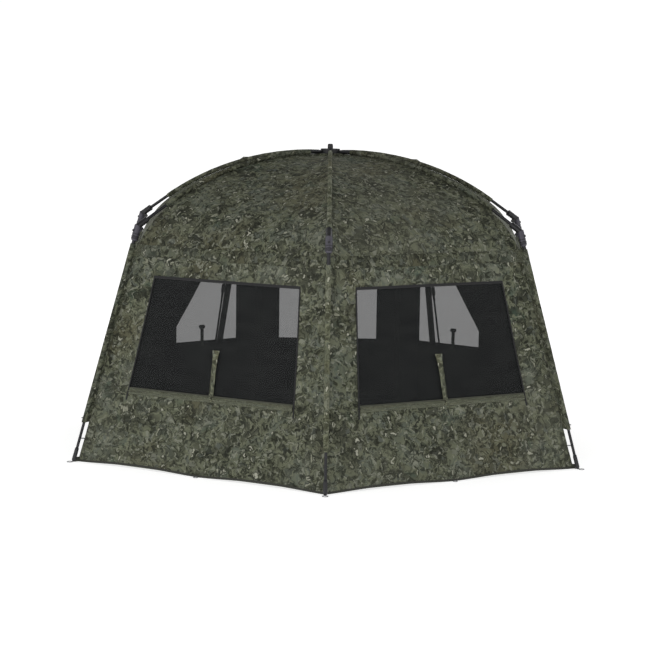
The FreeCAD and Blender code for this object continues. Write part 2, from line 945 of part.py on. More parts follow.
def make_storm_pole(side):
    name = "storm_" + side
    frame = storm_frame(side)
    tube = solid(
        "Cylinder",
        name + "_tube",
        at(0, 0, "-dims.storm_upper"),
        Radius="dims.storm_radius",
        Height="dims.storm_upper",
    )
    hollow = solid(
        "Cylinder",
        name + "_hollow",
        at(0, 0, "-dims.storm_upper - dims.over"),
        Radius="dims.storm_bore",
        Height="dims.storm_upper - dims.storm_plug",
    )
    knob = solid("Sphere", name + "_knob", Radius="dims.storm_cap_radius")
    upper = cut(name + "_upper", join(name + "_upper_whole", [tube, knob]), [hollow])
    finish(upper, "storm_upper_" + side, *frame)
    rod = solid(
        "Cylinder",
        name + "_rod",
        at(0, 0, f"-{STORM_DOWN}"),
        Radius="dims.storm_lower_radius",
        Height=f"{STORM_DOWN} - dims.storm_upper + dims.storm_overlap",
    )
    tip = solid("Sphere", name + "_tip", at(0, 0, f"-{STORM_DOWN}"), Radius="dims.storm_foot_radius")
    finish(join(name + "_lower", [rod, tip]), "storm_lower_" + side, *frame)
    make_storm_lock(side, frame)


def make_storm_lock(side, frame):
    """A twist collar around the upper tube's lower end, with a thumb rib on it."""
    name = "storm_lock_" + side
    low = "-dims.storm_upper + dims.storm_lock_up"
    sleeve = solid(
        "Cylinder",
        name + "_sleeve",
        at(0, 0, low),
        Radius="dims.storm_lock_radius",
        Height="dims.storm_lock_long",
    )
    grip = solid(
        "Box",
        name + "_grip",
        at(0, "-dims.storm_lock_radius / 4", f"{low} + dims.storm_grip_inset"),
        Length="dims.storm_lock_radius + dims.storm_grip_stand",
        Width="dims.storm_lock_radius / 2",
        Height="dims.storm_lock_long - 2 * dims.storm_grip_inset",
    )
    bore = solid(
        "Cylinder",
        name + "_bore",
        at(0, 0, f"{low} - dims.over"),
        Radius="dims.storm_radius + dims.bore_clearance",
        Height="dims.storm_lock_long + 2 * dims.over",
    )
    finish(cut(name + "_cut", join(name + "_whole", [sleeve, grip]), [bore]), name, *frame)


# ---------------------------------------------------------------- the whole shelter


def check(items):
    for item in doc.Objects:
        if "Invalid" in item.State or "Error" in item.State:
            raise RuntimeError(f"{item.Label} did not compute: {item.State}")
    for item in items:
        if item.Shape.isNull() or not item.Shape.isValid():
            raise RuntimeError(f"{item.Label} has no valid shape")


def main():
    make_hub()
    for rib in RIBS:
        make_roof_pole(rib)
        make_elbow_socket(rib)
        make_elbow_barrel(rib)
        make_elbow_button(rib)
        make_leg_tube(rib)
        make_foot_pole(rib)
    make_roof()
    make_walls()
    make_rear_windows()
    make_door()
    make_groundsheet()
    make_peg_rings()
    for side in SIDES:
        make_storm_pole(side)
    doc.recompute()
    check(pieces)
    os.makedirs("parts", exist_ok=True)
    for item in pieces:
        item.Shape.exportStep(f"parts/{item.Label}.step")
        print(item.Label, round(item.Shape.Volume), len(item.Shape.Solids))


main()
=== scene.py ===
import math

import bmesh
import bpy
import numpy as np
from mathutils import Matrix, Vector, noise


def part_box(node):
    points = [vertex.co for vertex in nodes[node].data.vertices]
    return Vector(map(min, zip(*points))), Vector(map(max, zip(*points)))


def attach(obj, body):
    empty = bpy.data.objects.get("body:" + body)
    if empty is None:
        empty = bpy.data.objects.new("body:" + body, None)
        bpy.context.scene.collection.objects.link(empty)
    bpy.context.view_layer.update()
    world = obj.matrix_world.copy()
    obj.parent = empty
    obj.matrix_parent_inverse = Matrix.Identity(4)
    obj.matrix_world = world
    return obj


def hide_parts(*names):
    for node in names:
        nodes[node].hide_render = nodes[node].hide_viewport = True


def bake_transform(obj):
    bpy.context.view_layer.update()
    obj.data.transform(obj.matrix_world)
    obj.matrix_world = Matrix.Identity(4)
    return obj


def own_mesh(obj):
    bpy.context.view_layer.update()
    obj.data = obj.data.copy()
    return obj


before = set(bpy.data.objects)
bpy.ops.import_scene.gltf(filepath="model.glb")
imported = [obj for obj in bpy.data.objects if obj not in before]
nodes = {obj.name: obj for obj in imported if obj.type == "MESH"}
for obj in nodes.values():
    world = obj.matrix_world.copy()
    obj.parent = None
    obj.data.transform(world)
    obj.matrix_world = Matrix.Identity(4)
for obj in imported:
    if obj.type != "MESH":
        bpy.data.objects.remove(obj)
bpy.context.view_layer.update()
scene = bpy.context.scene

# Camo pole shelter. Metres, Z up, rear rib along -Y, door towards +Y.

# ------------------------------------------------------------------ places

HUB = (Vector(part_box("hub_cap")[0]) + Vector(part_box("hub_cap")[1])) / 2
SHELTER_MIDDLE = np.array([HUB.x, HUB.y, 0.55])
# bearings from the hub, in degrees
RIBS = {"rear": -90, "left": -150, "right": -30, "front_left": 158, "front_right": 22}
PROW = {"left": 117.5, "right": 62.5}
PANELS = {
    "rear_left": ("rear", "left"),
    "rear_right": ("rear", "right"),
    "side_left": ("left", "front_left"),
    "side_right": ("right", "front_right"),
}
# a roof pole's axis: an arc from its root, ARC_BEND degrees long, then a straight tail
ARC_START, ARC_RADIUS, PIVOT_Z = 0.071, 1.574, 1.510
ARC_BEND = 33.46
ARC_Z = PIVOT_Z - ARC_RADIUS
SKIN_GAP = 0.013  # from a roof pole's axis to the fabric below it
LEAN = math.radians(16.6)  # of the legs
# (reach from the hub's axis, height)
ELBOW = (1.08792, 1.15062)
SEAM = (1.095, 1.040)
PROW_TOP = (1.064, 1.441)
APEX = (0.004, 1.485)
HEM_REACH, PROW_HEM_REACH = 1.405, 1.145
SPLIT_Z = 0.573  # where the leg's outer tube ends and the sliding foot pole comes out
CLOTH = 0.0018
LAP = 0.0012  # the thickness of tapes, hems and sleeves
BEHIND = -0.0035  # netting, from the cloth's face
WINDOW = {"top": 0.908, "bottom": 0.378, "half_top": 0.415, "half_bottom": 0.470}
WALL_SLOPE = 1.035  # a wall's length for each metre of its height


def polar(bearing, reach, z):
    """Points at a reach from the hub's axis, in the direction of a bearing in degrees."""
    a = math.radians(bearing)
    reach, z = np.asarray(reach, float), np.asarray(z, float)
    return np.stack([HUB.x + reach * math.cos(a), HUB.y + reach * math.sin(a), z + 0 * reach], axis=-1)


def unit(v):
    v = np.asarray(v, float)
    return v / np.maximum(np.linalg.norm(v, axis=-1, keepdims=True), 1e-12)


def outward(bearing):
    a = math.radians(bearing)
    return np.array([math.cos(a), math.sin(a), 0.0])


def sideways(bearing):
    return outward(bearing + 90)


def lerp(a, b, t):
    return a + (b - a) * t


def running(points):
    """How far along a line each of its points is."""
    return np.concatenate([[0], np.cumsum(np.linalg.norm(np.diff(points, axis=0), axis=1))])


def smooth_line(points, count):
    """A Catmull-Rom curve through points, as count points evenly spaced along it."""
    p = np.array(points, float)
    p = np.vstack([2 * p[0] - p[1], p, 2 * p[-1] - p[-2]])
    out = []
    for i in range(1, len(p) - 2):
        a, b, c, d = p[i - 1 : i + 3]
        for t in np.linspace(0, 1, 24, endpoint=False):
            bend = (2 * a - 5 * b + 4 * c - d) * t**2 + (3 * b - a - 3 * c + d) * t**3
            out.append(0.5 * (2 * b + (c - a) * t + bend))
    out = np.array(out + [p[-2]])
    along = running(out)
    at = np.linspace(0, along[-1], count)
    return np.stack([np.interp(at, along, out[:, k]) for k in range(out.shape[1])], axis=1)


def roof_line(count):
    """Reach and height of the roof's fabric in a rib's plane, from the hub to the seam."""
    points = [APEX, (0.046, 1.4855), (0.060, 1.4945), (0.084, ARC_Z + ARC_RADIUS - SKIN_GAP)]
    for turn in (6.5, 13, 19.5, 26, 32):
        a, r = math.radians(turn), ARC_RADIUS - SKIN_GAP
        points.append((ARC_START + r * math.sin(a), ARC_Z + r * math.cos(a)))
    points += [(0.985, 1.1945), (1.050, 1.1165), SEAM]
    return smooth_line(points, count)


def pole_point(bearing, reach):
    """A point on a roof pole's axis and the direction square to it, downwards: an arc, then a straight tail."""
    a = min(math.asin((reach - ARC_START) / ARC_RADIUS), math.radians(ARC_BEND))
    z = ARC_Z + ARC_RADIUS * math.cos(a) - (reach - ARC_START - ARC_RADIUS * math.sin(a)) * math.tan(a)
    return polar(bearing, reach, z), -(outward(bearing) * math.sin(a) + np.array([0, 0, math.cos(a)]))


def leg_point(bearing, down):
    """A point on a leg's axis, that far down from the elbow."""
    return polar(bearing, ELBOW[0] + down * math.sin(LEAN), ELBOW[1] - down * math.cos(LEAN))


def wall_reach(z):
    return lerp(SEAM[0], HEM_REACH, (SEAM[1] - z) / SEAM[1])


def prow_reach(z):
    return lerp(PROW_TOP[0], PROW_HEM_REACH, (PROW_TOP[1] - z) / PROW_TOP[1])


def ripple(x, y, seed):
    return noise.noise(Vector((x, y, seed)))


def from_inside(point):
    """The direction out of the shelter at a point."""
    return point - SHELTER_MIDDLE


def ends_of(panel):
    """The bearings of a panel's two ribs, less than half a turn apart."""
    first, second = (RIBS[rib] for rib in PANELS[panel])
    return first, second - 360 if panel == "side_left" else second


def halves(panel, middle):
    """A panel's halves: letter, the rib that carries it, its grid columns and the other rib's bearing."""
    (a, b), (first, second) = PANELS[panel], ends_of(panel)
    return ("a", a, slice(0, middle + 1), second), ("b", b, slice(middle, None), first)


# ------------------------------------------------------------------ shader graphs


def linear(r, g, b):
    """An sRGB colour, 0 to 255, as the linear colour that a shader takes."""
    out = []
    for c in (r, g, b):
        c /= 255
        out.append(c / 12.92 if c <= 0.04045 else ((c + 0.055) / 1.055) ** 2.4)
    return (*out, 1.0)


class Graph:
    """A material's node tree, built by short calls."""

    def __init__(self, name):
        self.material = bpy.data.materials.new(name)
        self.material.use_nodes = True
        self.tree = self.material.node_tree
        self.shader = next(n for n in self.tree.nodes if n.type == "BSDF_PRINCIPLED")

    def node(self, kind, inputs=(), **settings):
        made = self.tree.nodes.new("ShaderNode" + kind)
        for key, value in settings.items():
            setattr(made, key, value)
        for key, value in dict(inputs).items():
            self.feed(made.inputs[key], value)
        return made

    def feed(self, socket, value):
        if isinstance(value, bpy.types.NodeSocket):
            self.tree.links.new(value, socket)
        else:
            socket.default_value = value

    def set(self, **values):
        for key, value in values.items():
            self.feed(self.shader.inputs[key.replace("_", " ")], value)

    def coords(self, kind):
        return self.node("TexCoord").outputs[kind]

    def math(self, operation, a, b=0.0):
        return self.node("Math", {0: a, 1: b}, operation=operation).outputs[0]

    def gap(self, value, target):
        """How far a value is from a target."""
        return self.math("ABSOLUTE", self.math("SUBTRACT", value, target))

    def vector(self, operation, a, b):
        return self.node("VectorMath", {0: a, 1: b}, operation=operation).outputs[0]

    def mix(self, share, a, b, blend="MIX"):
        made = self.node("Mix", data_type="RGBA", blend_type=blend)
        for index, value in ((0, share), (6, a), (7, b)):
            self.feed(made.inputs[index], value)
        return made.outputs[2]

    def lay(self, base, mask, strength, colour):
        """A colour over a base, as far as a mask and a strength say."""
        return self.mix(self.math("MULTIPLY", mask, strength), base, colour)

    def noise(self, vector, scale, detail=3.0, rough=0.55, distort=0.0, out=0):
        inputs = {"Vector": vector, "Scale": scale, "Detail": detail, "Roughness": rough, "Distortion": distort}
        return self.node("TexNoise", inputs).outputs[out]

    def bend(self, vector, uv, scale, size):
        """A vector pushed about by noise in U and V."""
        push = self.vector("SUBTRACT", self.noise(uv, scale, 2.0, 0.5, out=1), (0.5, 0.5, 0.5))
        return self.vector("ADD", vector, self.vector("MULTIPLY", push, (size, size, 0.0)))

    def cells(self, vector, scale):
        """Voronoi cells: the distance from a cell's middle, and three random numbers for each cell."""
        made = self.node("TexVoronoi", {"Vector": vector, "Scale": scale, "Randomness": 1.0})
        return made.outputs["Distance"], self.node("SeparateColor", {0: made.outputs["Color"]}).outputs

    def step(self, value, low, high):
        """0 below low and 1 above high, smooth between."""
        inputs = {0: value, 1: low, 2: high, 3: 0.0, 4: 1.0}
        return self.node("MapRange", inputs, interpolation_type="SMOOTHSTEP").outputs[0]

    def ramp(self, value, stops, interpolation="LINEAR"):
        """Colours by value. The stops are sRGB colours by position."""
        made = self.node("ValToRGB", {0: value})
        made.color_ramp.interpolation = interpolation
        elements = made.color_ramp.elements
        while len(elements) < len(stops):
            elements.new(0.5)
        for element, (at, colour) in zip(elements, stops.items()):
            element.position, element.color = at, linear(*colour)
        return made.outputs[0]

    def bump(self, height, strength, distance, normal=None):
        inputs = {"Height": height, "Strength": strength, "Distance": distance}
        if normal is not None:
            inputs["Normal"] = normal
        return self.node("Bump", inputs).outputs[0]


WAVES_PER_METRE = 0.16  # scale of a wave texture that has one wave in a metre


def weave(g, uv, pitch):
    """The height of a plain weave, from UV in metres."""
    inputs = {"Vector": uv, "Scale": WAVES_PER_METRE / pitch, "Distortion": 0.6, "Detail Scale": 90.0}
    threads = [g.node("TexWave", inputs, bands_direction=axis).outputs[1] for axis in "XY"]
    return g.math("MULTIPLY", *threads)


def camo_material(name, tint=1.0, plain=0.0):
    """Printed camo cloth: tint brightens it and plain fades the print."""
    g = Graph(name)
    uv = g.coords("UV")
    bent = g.bend(uv, uv, 17.0, 0.075)
    torn = g.bend(bent, uv, 60.0, 0.03)
    # broad patches
    broad = g.noise(bent, 5.5, 4.0, 0.62)
    patches = {0.32: (50, 52, 44), 0.42: (74, 76, 64), 0.49: (97, 100, 82), 0.57: (86, 91, 80), 0.66: (108, 111, 98)}
    base = g.ramp(broad, patches)
    base = g.lay(base, g.step(g.noise(uv, 2.3, 2.0, 0.5), 0.52, 0.66), 0.7, linear(86, 84, 66))
    base = g.lay(base, g.step(g.noise(uv, 6.1, 3.0, 0.55, 0.4), 0.60, 0.68), 0.5, linear(60, 76, 66))
    base = g.lay(base, g.step(g.noise(bent, 9.0, 3.0, 0.6), 0.54, 0.60), 0.5, linear(50, 52, 46))
    # torn leaf shapes and smaller bits, each cell with its own shade
    off, (shade, chosen, _) = g.cells(torn, 36.0)
    leaf = {0.0: (38, 40, 35), 0.24: (104, 107, 90), 0.40: (56, 58, 53)}
    leaf |= {0.56: (116, 118, 108), 0.68: (48, 51, 42), 0.84: (92, 97, 92)}
    leafy = g.math("MULTIPLY", g.step(chosen, 0.42, 0.44), g.step(off, 0.62, 0.52))
    base = g.lay(base, leafy, 0.5, g.ramp(shade, leaf, "CONSTANT"))
    _, (shade, _, chosen) = g.cells(torn, 84.0)
    bits = {0.0: (30, 32, 27), 0.36: (128, 130, 116), 0.56: (42, 43, 38), 0.74: (110, 113, 94)}
    base = g.lay(base, g.step(chosen, 0.60, 0.62), 0.7, g.ramp(shade, bits, "CONSTANT"))
    # dark twigs and pale strokes
    twig = g.gap(g.noise(bent, 15.0, 3.0, 0.6, 0.8), 0.5)
    base = g.lay(base, g.step(twig, 0.022, 0.008), 0.65, linear(34, 35, 26))
    stroke = g.step(g.gap(g.noise(torn, 24.0, 2.0, 0.5, 1.1), 0.46), 0.014, 0.004)
    stroke = g.math("MULTIPLY", stroke, g.step(g.noise(uv, 11.0, 1.0, 0.5), 0.50, 0.58))
    base = g.lay(base, stroke, 0.7, linear(120, 121, 102))
    # small pale specks, each on a darker spot
    off, (shade, chosen, _) = g.cells(g.vector("MULTIPLY", torn, (1.0, 0.62, 1.0)), 38.0)
    chosen = g.step(chosen, 0.60, 0.61)
    base = g.lay(base, g.math("MULTIPLY", g.step(off, 0.52, 0.34), chosen), 0.5, linear(34, 36, 29))
    speck = g.mix(shade, linear(128, 129, 112), linear(176, 176, 160))
    base = g.lay(base, g.math("MULTIPLY", g.step(off, 0.27, 0.16), chosen), 0.85, speck)
    if plain:
        base = g.mix(plain, base, linear(70, 71, 52))
    # dirt and fading, then the strength of the colour
    base = g.lay(base, g.step(g.noise(uv, 1.4, 3.0, 0.6), 0.35, 0.75), 0.16, linear(120, 121, 108))
    base = g.mix(1.0, base, (tint, tint, tint, 1.0), "MULTIPLY")
    normal = g.bump(weave(g, uv, 0.0016), 0.25, 0.0004)
    normal = g.bump(g.noise(uv, 28.0, 3.0, 0.6), 0.35, 0.004, normal)
    g.set(Base_Color=base, Roughness=g.math("ADD", g.math("MULTIPLY", broad, 0.15), 0.66), Normal=normal)
    g.set(Specular_IOR_Level=0.3, IOR=1.18)
    return g.material


def lining_material():
    g = Graph("dark_lining")
    uv = g.coords("UV")
    cloudy = g.noise(uv, 9.0, 4.0, 0.6)
    g.set(Base_Color=g.mix(cloudy, linear(22, 23, 22), linear(36, 38, 34)), Roughness=0.75)
    g.set(Specular_IOR_Level=0.2, Normal=g.bump(g.math("ADD", weave(g, uv, 0.0016), cloudy), 0.3, 0.001))
    return g.material


def mesh_material():
    """Fine netting: threads on a grid, with the light between them."""
    g = Graph("window_netting")
    uv = g.coords("UV")
    pitch = 0.0022
    inputs = {"Vector": uv, "Scale": WAVES_PER_METRE / pitch, "Distortion": 0.0}
    lines = [g.node("TexWave", inputs, bands_direction=axis).outputs[1] for axis in "XY"]
    thread = g.math("MAXIMUM", *lines)
    solid = g.step(thread, 0.30, 0.80)
    streaky = g.noise(g.vector("MULTIPLY", uv, (3.0, 13.0, 1.0)), 2.0, 4.0, 0.6)
    g.set(Base_Color=g.mix(streaky, linear(26, 27, 29), linear(56, 58, 57)), Roughness=0.8)
    g.set(Alpha=g.math("ADD", g.math("MULTIPLY", solid, 0.09), 0.55), Specular_IOR_Level=0.12)
    g.set(Normal=g.bump(thread, 0.4, 0.0006))
    g.material.surface_render_method = "BLENDED"
    return g.material


def tape_material(name, colour, stitch):
    """Webbing or seam tape with a row of stitches near each edge. U runs along it in metres, V across it."""
    g = Graph(name)
    uv = g.coords("UV")
    along, across, _ = g.node("SeparateXYZ", {0: uv}).outputs
    near = g.gap(g.gap(across, 0.5), 0.34)
    dash = g.math("FRACT", g.math("MULTIPLY", along, 1 / 0.005))
    row = g.math("MULTIPLY", g.step(near, 0.06, 0.03), g.step(dash, 0.70, 0.62))
    ribs = g.math("SINE", g.math("MULTIPLY", along, 2 * math.pi / 0.0024))
    dust = g.noise(uv, 60.0, 3.0, 0.6)
    body = g.mix(dust, colour, tuple(min(1.0, 1.5 * c) for c in colour[:3]) + (1.0,))
    g.set(Base_Color=g.mix(row, body, stitch), Roughness=g.math("ADD", g.math("MULTIPLY", dust, 0.2), 0.6))
    g.set(Normal=g.bump(row, 0.5, 0.0008, g.bump(ribs, 0.3, 0.0004)))
    return g.material


def hard_material(name, dark, light, rough, metal, grain):
    """Painted metal or moulded plastic: fine grain, with scuffs and scratches that are paler and rougher."""
    g = Graph(name)
    place = g.coords("Object")
    fine = g.noise(place, grain, 3.0, 0.6)
    scuff = g.step(g.noise(place, 21.0, 5.0, 0.7, 0.3), 0.56, 0.72)
    scratch = g.noise(g.vector("MULTIPLY", place, (9.0, 9.0, 1.6)), 60.0, 2.0, 0.5)
    marks = g.math("MULTIPLY", g.step(scratch, 0.64, 0.70), 0.5)
    colour = g.lay(linear(*dark), scuff, 0.5, linear(*light))
    g.set(Base_Color=g.mix(marks, colour, linear(*light)), Metallic=metal)
    g.set(Roughness=g.math("ADD", g.math("MULTIPLY", g.math("ADD", scuff, fine), 0.12), rough))
    g.set(Normal=g.bump(g.math("ADD", fine, marks), 0.25, 0.0005))
    return g.material


def floor_sheet_material():
    g = Graph("groundsheet_fabric")
    uv = g.coords("UV")
    cloudy = g.noise(uv, 3.0, 4.0, 0.6)
    folds = g.noise(uv, 7.0, 3.0, 0.5, 0.8)
    g.set(Base_Color=g.mix(cloudy, linear(92, 95, 90), linear(118, 120, 112)), Roughness=0.5)
    g.set(Normal=g.bump(folds, 0.4, 0.01, g.bump(weave(g, uv, 0.003), 0.3, 0.0006)))
    return g.material


CAMO = camo_material("camo_cloth")
SLEEVE = camo_material("camo_sleeve_cloth", tint=0.86)
# the rear rib's sleeve: the sleeve cloth made much lighter and plainer, a painted highlight for the light that falls
# along it
LIT_REAR_SLEEVE = camo_material("camo_rear_sleeve_painted_highlight", tint=1.34, plain=0.30)
FLAP = camo_material("camo_cover_cloth", tint=1.12, plain=0.08)
STRAP = camo_material("camo_strap_cloth", tint=1.3)
LINING = lining_material()
NETTING = mesh_material()
GROUND = floor_sheet_material()
BAND = tape_material("dark_webbing", linear(22, 23, 22), linear(36, 37, 34))
HEM_TAPE = tape_material("hem_tape", linear(34, 35, 28), linear(62, 63, 52))
SEAM_TAPE = tape_material("seam_tape", linear(48, 50, 38), linear(84, 85, 70))
ZIP = tape_material("zip_tape", linear(12, 12, 13), linear(26, 26, 28))
TUBE = hard_material("painted_tube", (22, 22, 25), (58, 58, 64), 0.34, 0.25, 400.0)
PLASTIC = hard_material("moulded_black", (24, 24, 27), (52, 52, 56), 0.46, 0.0, 700.0)
KNUCKLE = hard_material("knuckle_black", (20, 20, 23), (60, 59, 66), 0.36, 0.1, 500.0)
BARREL = hard_material("barrel_grey", (62, 60, 69), (96, 94, 104), 0.40, 0.1, 500.0)
STEEL = hard_material("bright_steel", (168, 168, 170), (205, 205, 205), 0.24, 1.0, 900.0)

# ------------------------------------------------------------------ pieces


def new_piece(name, points, faces, uvs, materials):
    """uvs is a list of one (u, v) per corner of each face."""
    mesh = bpy.data.meshes.new(name)
    mesh.from_pydata([tuple(p) for p in points], [], faces)
    mesh.polygons.foreach_set("use_smooth", [True] * len(faces))
    layer = mesh.uv_layers.new(name="UVMap")
    layer.data.foreach_set("uv", np.array(uvs, np.float32).ravel())
    for material in materials:
        mesh.materials.append(material)
    made = bpy.data.objects.new(name, mesh)
    scene.collection.objects.link(made)
    return made


def grid_piece(name, P, UV, materials, keep=None, outside=None, around=False):
    """A sheet over a grid of points, without the cells that keep says no to.

    Its faces turn towards outside, which is a direction or a function that gives one for each point."""
    ni, nj = P.shape[:2]
    used, order, faces, uvs = {}, [], [], []

    def index(i, j):
        key = (i % ni if around else i, j)
        if key not in used:
            used[key] = len(order)
            order.append(P[key])
        return used[key]

    for i in range(ni if around else ni - 1):
        for j in range(nj - 1):
            if keep is not None and not keep[i, j]:
                continue
            ring = [(i, j), (i + 1, j), (i + 1, j + 1), (i, j + 1)]
            corners = [index(*c) for c in ring]
            flat = [UV[a % ni if around else a, b] for a, b in ring]
            spots = [order[c] for c in corners]
            real = [k for k in range(4) if np.linalg.norm(spots[k] - spots[k - 1]) > 1e-6]
            if len({corners[k] for k in real}) >= 3:
                faces.append(tuple(corners[k] for k in real))
                uvs += [flat[k] for k in real]
    points = np.array(order)
    if outside is not None:
        total = 0.0
        for f in faces:
            a, b, c = (points[k] for k in f[:3])
            normal = np.cross(b - a, c - a)
            away = outside(np.mean([points[k] for k in f], axis=0)) if callable(outside) else outside
            total += float(normal @ away)
        if total < 0:
            flipped, at = [], 0
            for k, f in enumerate(faces):
                flipped += uvs[at : at + len(f)][::-1]
                at += len(f)
                faces[k] = tuple(reversed(f))
            uvs = flipped
    return new_piece(name, points, faces, uvs, materials)


def sharpen_border(mesh):
    """Marks a sheet's open edges sharp, so that its thickness doesn't bend the light at a seam."""
    seen = {}
    for face in mesh.polygons:
        for key in face.edge_keys:
            seen[key] = seen.get(key, 0) + 1
    sharp = mesh.attributes.new("sharp_edge", "BOOLEAN", "EDGE")
    sharp.data.foreach_set("value", [seen.get(tuple(sorted(e.vertices)), 0) == 1 for e in mesh.edges])


def turn_out(piece, away):
    """Flips a piece's faces if they look the wrong way. away gives the right way for a face's centre."""
    mesh = piece.data
    if sum(float(np.array(f.normal) @ away(np.array(f.center))) for f in mesh.polygons) < 0:
        mesh.flip_normals()


def thicken(piece, thickness=CLOTH, offset=-1.0, lined=True):
    sharpen_border(piece.data)
    solid = piece.modifiers.new("thickness", "SOLIDIFY")
    solid.thickness, solid.offset = thickness, offset
    solid.use_even_offset = True
    if lined and len(piece.data.materials) > 1:
        solid.material_offset = 1
    return piece


def cloth(name, P, UV, sides=(CAMO, LINING), replaced=None, keep=None, outside=from_inside, thick=CLOTH):
    """A lined sheet over a grid of points, in the place of the CAD node that it replaces."""
    piece = thicken(grid_piece(name, P, UV, sides, keep, outside), thick)
    if replaced:
        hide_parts(replaced)
    return piece


def uv_grid(u, v):
    return np.stack(np.broadcast_arrays(u, v), axis=-1)


def ride_wall(piece, rib, low):
    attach(piece, ("foot_" if low else "leg_") + rib)
    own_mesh(piece)


def ride_roof(piece, rib):
    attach(piece, "rib_" + rib)
    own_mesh(piece)


def lathe(name, base, axis, profile, material, body=None):
    """A turned part: profile gives (distance along the axis, radius)."""
    axis = unit(axis)
    u = unit(np.cross(axis, [0, 0, 1.0] if abs(axis[2]) < 0.9 else [1.0, 0, 0]))
    v = np.cross(axis, u)
    turns = np.linspace(0, 2 * math.pi, 40, endpoint=False)
    P = np.array([[base + axis * d + (u * math.cos(t) + v * math.sin(t)) * r for d, r in profile] for t in turns])
    piece = grid_piece(name, P, np.zeros(P.shape[:2] + (2,)), [material], around=True)
    turn_out(piece, lambda c: c - base - axis * ((c - base) @ axis))
    if body:
        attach(piece, body)
    return piece


def strip_piece(name, line, side, width, material, lift, up, thick=LAP):
    """A flat tape along a line. side is the direction across it and up the direction it stands off by lift."""
    shares, heights = (-0.5, -0.42, 0.42, 0.5), (0.35, 1.0, 1.0, 0.35)
    P = np.stack([line + side * width * s + up * lift * h for s, h in zip(shares, heights)], axis=1)
    UV = uv_grid(running(line)[:, None], np.array(shares)[None] + 0.5)
    piece = grid_piece(name, P, UV, [material], outside=from_inside)
    return thicken(piece, thick, offset=1.0, lined=False)


# ------------------------------------------------------------------ roof

ROOF_ROWS, ROOF_COLUMNS = 56, 14
LINE = roof_line(ROOF_ROWS)
LINE_LENGTH = float(np.linalg.norm(np.diff(LINE, axis=0), axis=1).sum())
LINE_AT = np.linspace(0, LINE_LENGTH, ROOF_ROWS)


def normals_of(P):
    du, dv = np.gradient(P, axis=0), np.gradient(P, axis=1)
    n = unit(np.cross(du, dv))
    return n * np.sign((n * from_inside(P)).sum(-1, keepdims=True) + 1e-12)


def roof_grid(first, second, line_a, line_b, seed, sag):
    """The taut fabric between two profiles, drawn in a little between them, with pull lines from the corners."""
    s = np.linspace(0, 1, 2 * ROOF_COLUMNS + 1)
    A, B = polar(first, *line_a.T), polar(second, *line_b.T)
    flat = A[None] + (B - A)[None] * s[:, None, None]
    lift = np.zeros(flat.shape[:2])
    for i, si in enumerate(s):
        taut = 4 * si * (1 - si)
        for j in range(ROOF_ROWS):
            v = j / (ROOF_ROWS - 1)
            wide = math.sin(math.pi * min(1.0, v * 1.08)) ** 0.8 if v < 0.925 else 0.0
            wrinkle = 0.0030 * ripple(9 * si, 2.4 * v, seed) + 0.0016 * ripple(26 * si, 5 * v, seed + 7)
            pull = 0.0035 * math.sin(34 * (si - 0.5) * (1.6 - v) + seed) * max(0.0, v - 0.62) * taut
            lift[i, j] = -sag * taut * wide + (wrinkle + pull) * min(1.0, 6 * si * (1 - si)) * (1 - v**8)
    across = np.linalg.norm(B - A, axis=-1)
    UV = uv_grid((s[:, None] - 0.5) * across[None] + seed, LINE_AT[None] + 0.7 * seed)
    return flat, flat + normals_of(flat) * lift[..., None], UV


for number, panel in enumerate(PANELS):
    flat, P, UV = roof_grid(*ends_of(panel), LINE, LINE, 1.7 + 2.3 * number, 0.016)
    for half, rib, cols, _ in halves(panel, ROOF_COLUMNS):
        piece = cloth(f"roof_{panel}_{half}", P[cols], UV[cols], replaced="roof_" + panel)
        ride_roof(piece, rib)

# the hood over the door: its ridge lines run from the hub to the tops of the prow
share = (LINE[:, 0] - APEX[0]) / (SEAM[0] - APEX[0])
PROW_LINE = np.stack([lerp(APEX[k], PROW_TOP[k], share) for k in (0, 1)], axis=1)
for side, bearing in PROW.items():
    rib = "front_" + side
    flat, P, UV = roof_grid(RIBS[rib], bearing, LINE, PROW_LINE, 12.3 if side == "left" else 14.9, 0.012)
    piece = cloth(f"hood_{side}", P, UV, replaced="roof_front", outside=(0, 0, 1))
    start, end = polar(bearing, 0.55, 1.3), polar(RIBS[rib], 0.52, 1.3)
    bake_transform(piece)
flat, P, UV = roof_grid(PROW["left"], PROW["right"], PROW_LINE, PROW_LINE, 17.1, 0.010)
piece = cloth("hood_middle", P, UV, replaced="roof_front", outside=(0, 0, 1))
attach(piece, "hub")

# the roof's lower edge, a doubled hem that laps over the top of the walls: (height, reach, how far it stands out)
ROOF_HEM = (
    (1.060, 1.0862, 0.001),
    (1.040, SEAM[0], 0.004),
    (1.020, wall_reach(1.020), 0.0055),
    (1.004, wall_reach(1.004), 0.005),
)
ROOF_HEM_WIDTH = 0.058
for panel in PANELS:
    first, second = ends_of(panel)
    s = np.linspace(0, 1, 2 * ROOF_COLUMNS + 1)
    out = unit(outward(first) + outward(second))
    rows = []
    for z, reach, lift in ROOF_HEM:
        A, B = polar(first, reach, z), polar(second, reach, z)
        wave = np.array([0.0016 * ripple(11 * t, z * 9, 3.0) for t in s])[:, None] * (z < 1.03)
        rows.append(A[None] + (B - A)[None] * s[:, None] + out * (lift + wave))
    P = np.stack(rows, axis=1)
    wide = float(np.linalg.norm(P[-1, 0] - P[0, 0]))
    UV = uv_grid(s[:, None] * wide, np.array([0.0, 0.36, 0.72, 1.0])[None] * ROOF_HEM_WIDTH + 0.3)
    for half, rib, cols, _ in halves(panel, ROOF_COLUMNS):
        piece = cloth(f"roof_hem_{panel}_{half}", P[cols], UV[cols], (SLEEVE, LINING), thick=LAP)
        ride_roof(piece, rib)

# ------------------------------------------------------------------ walls

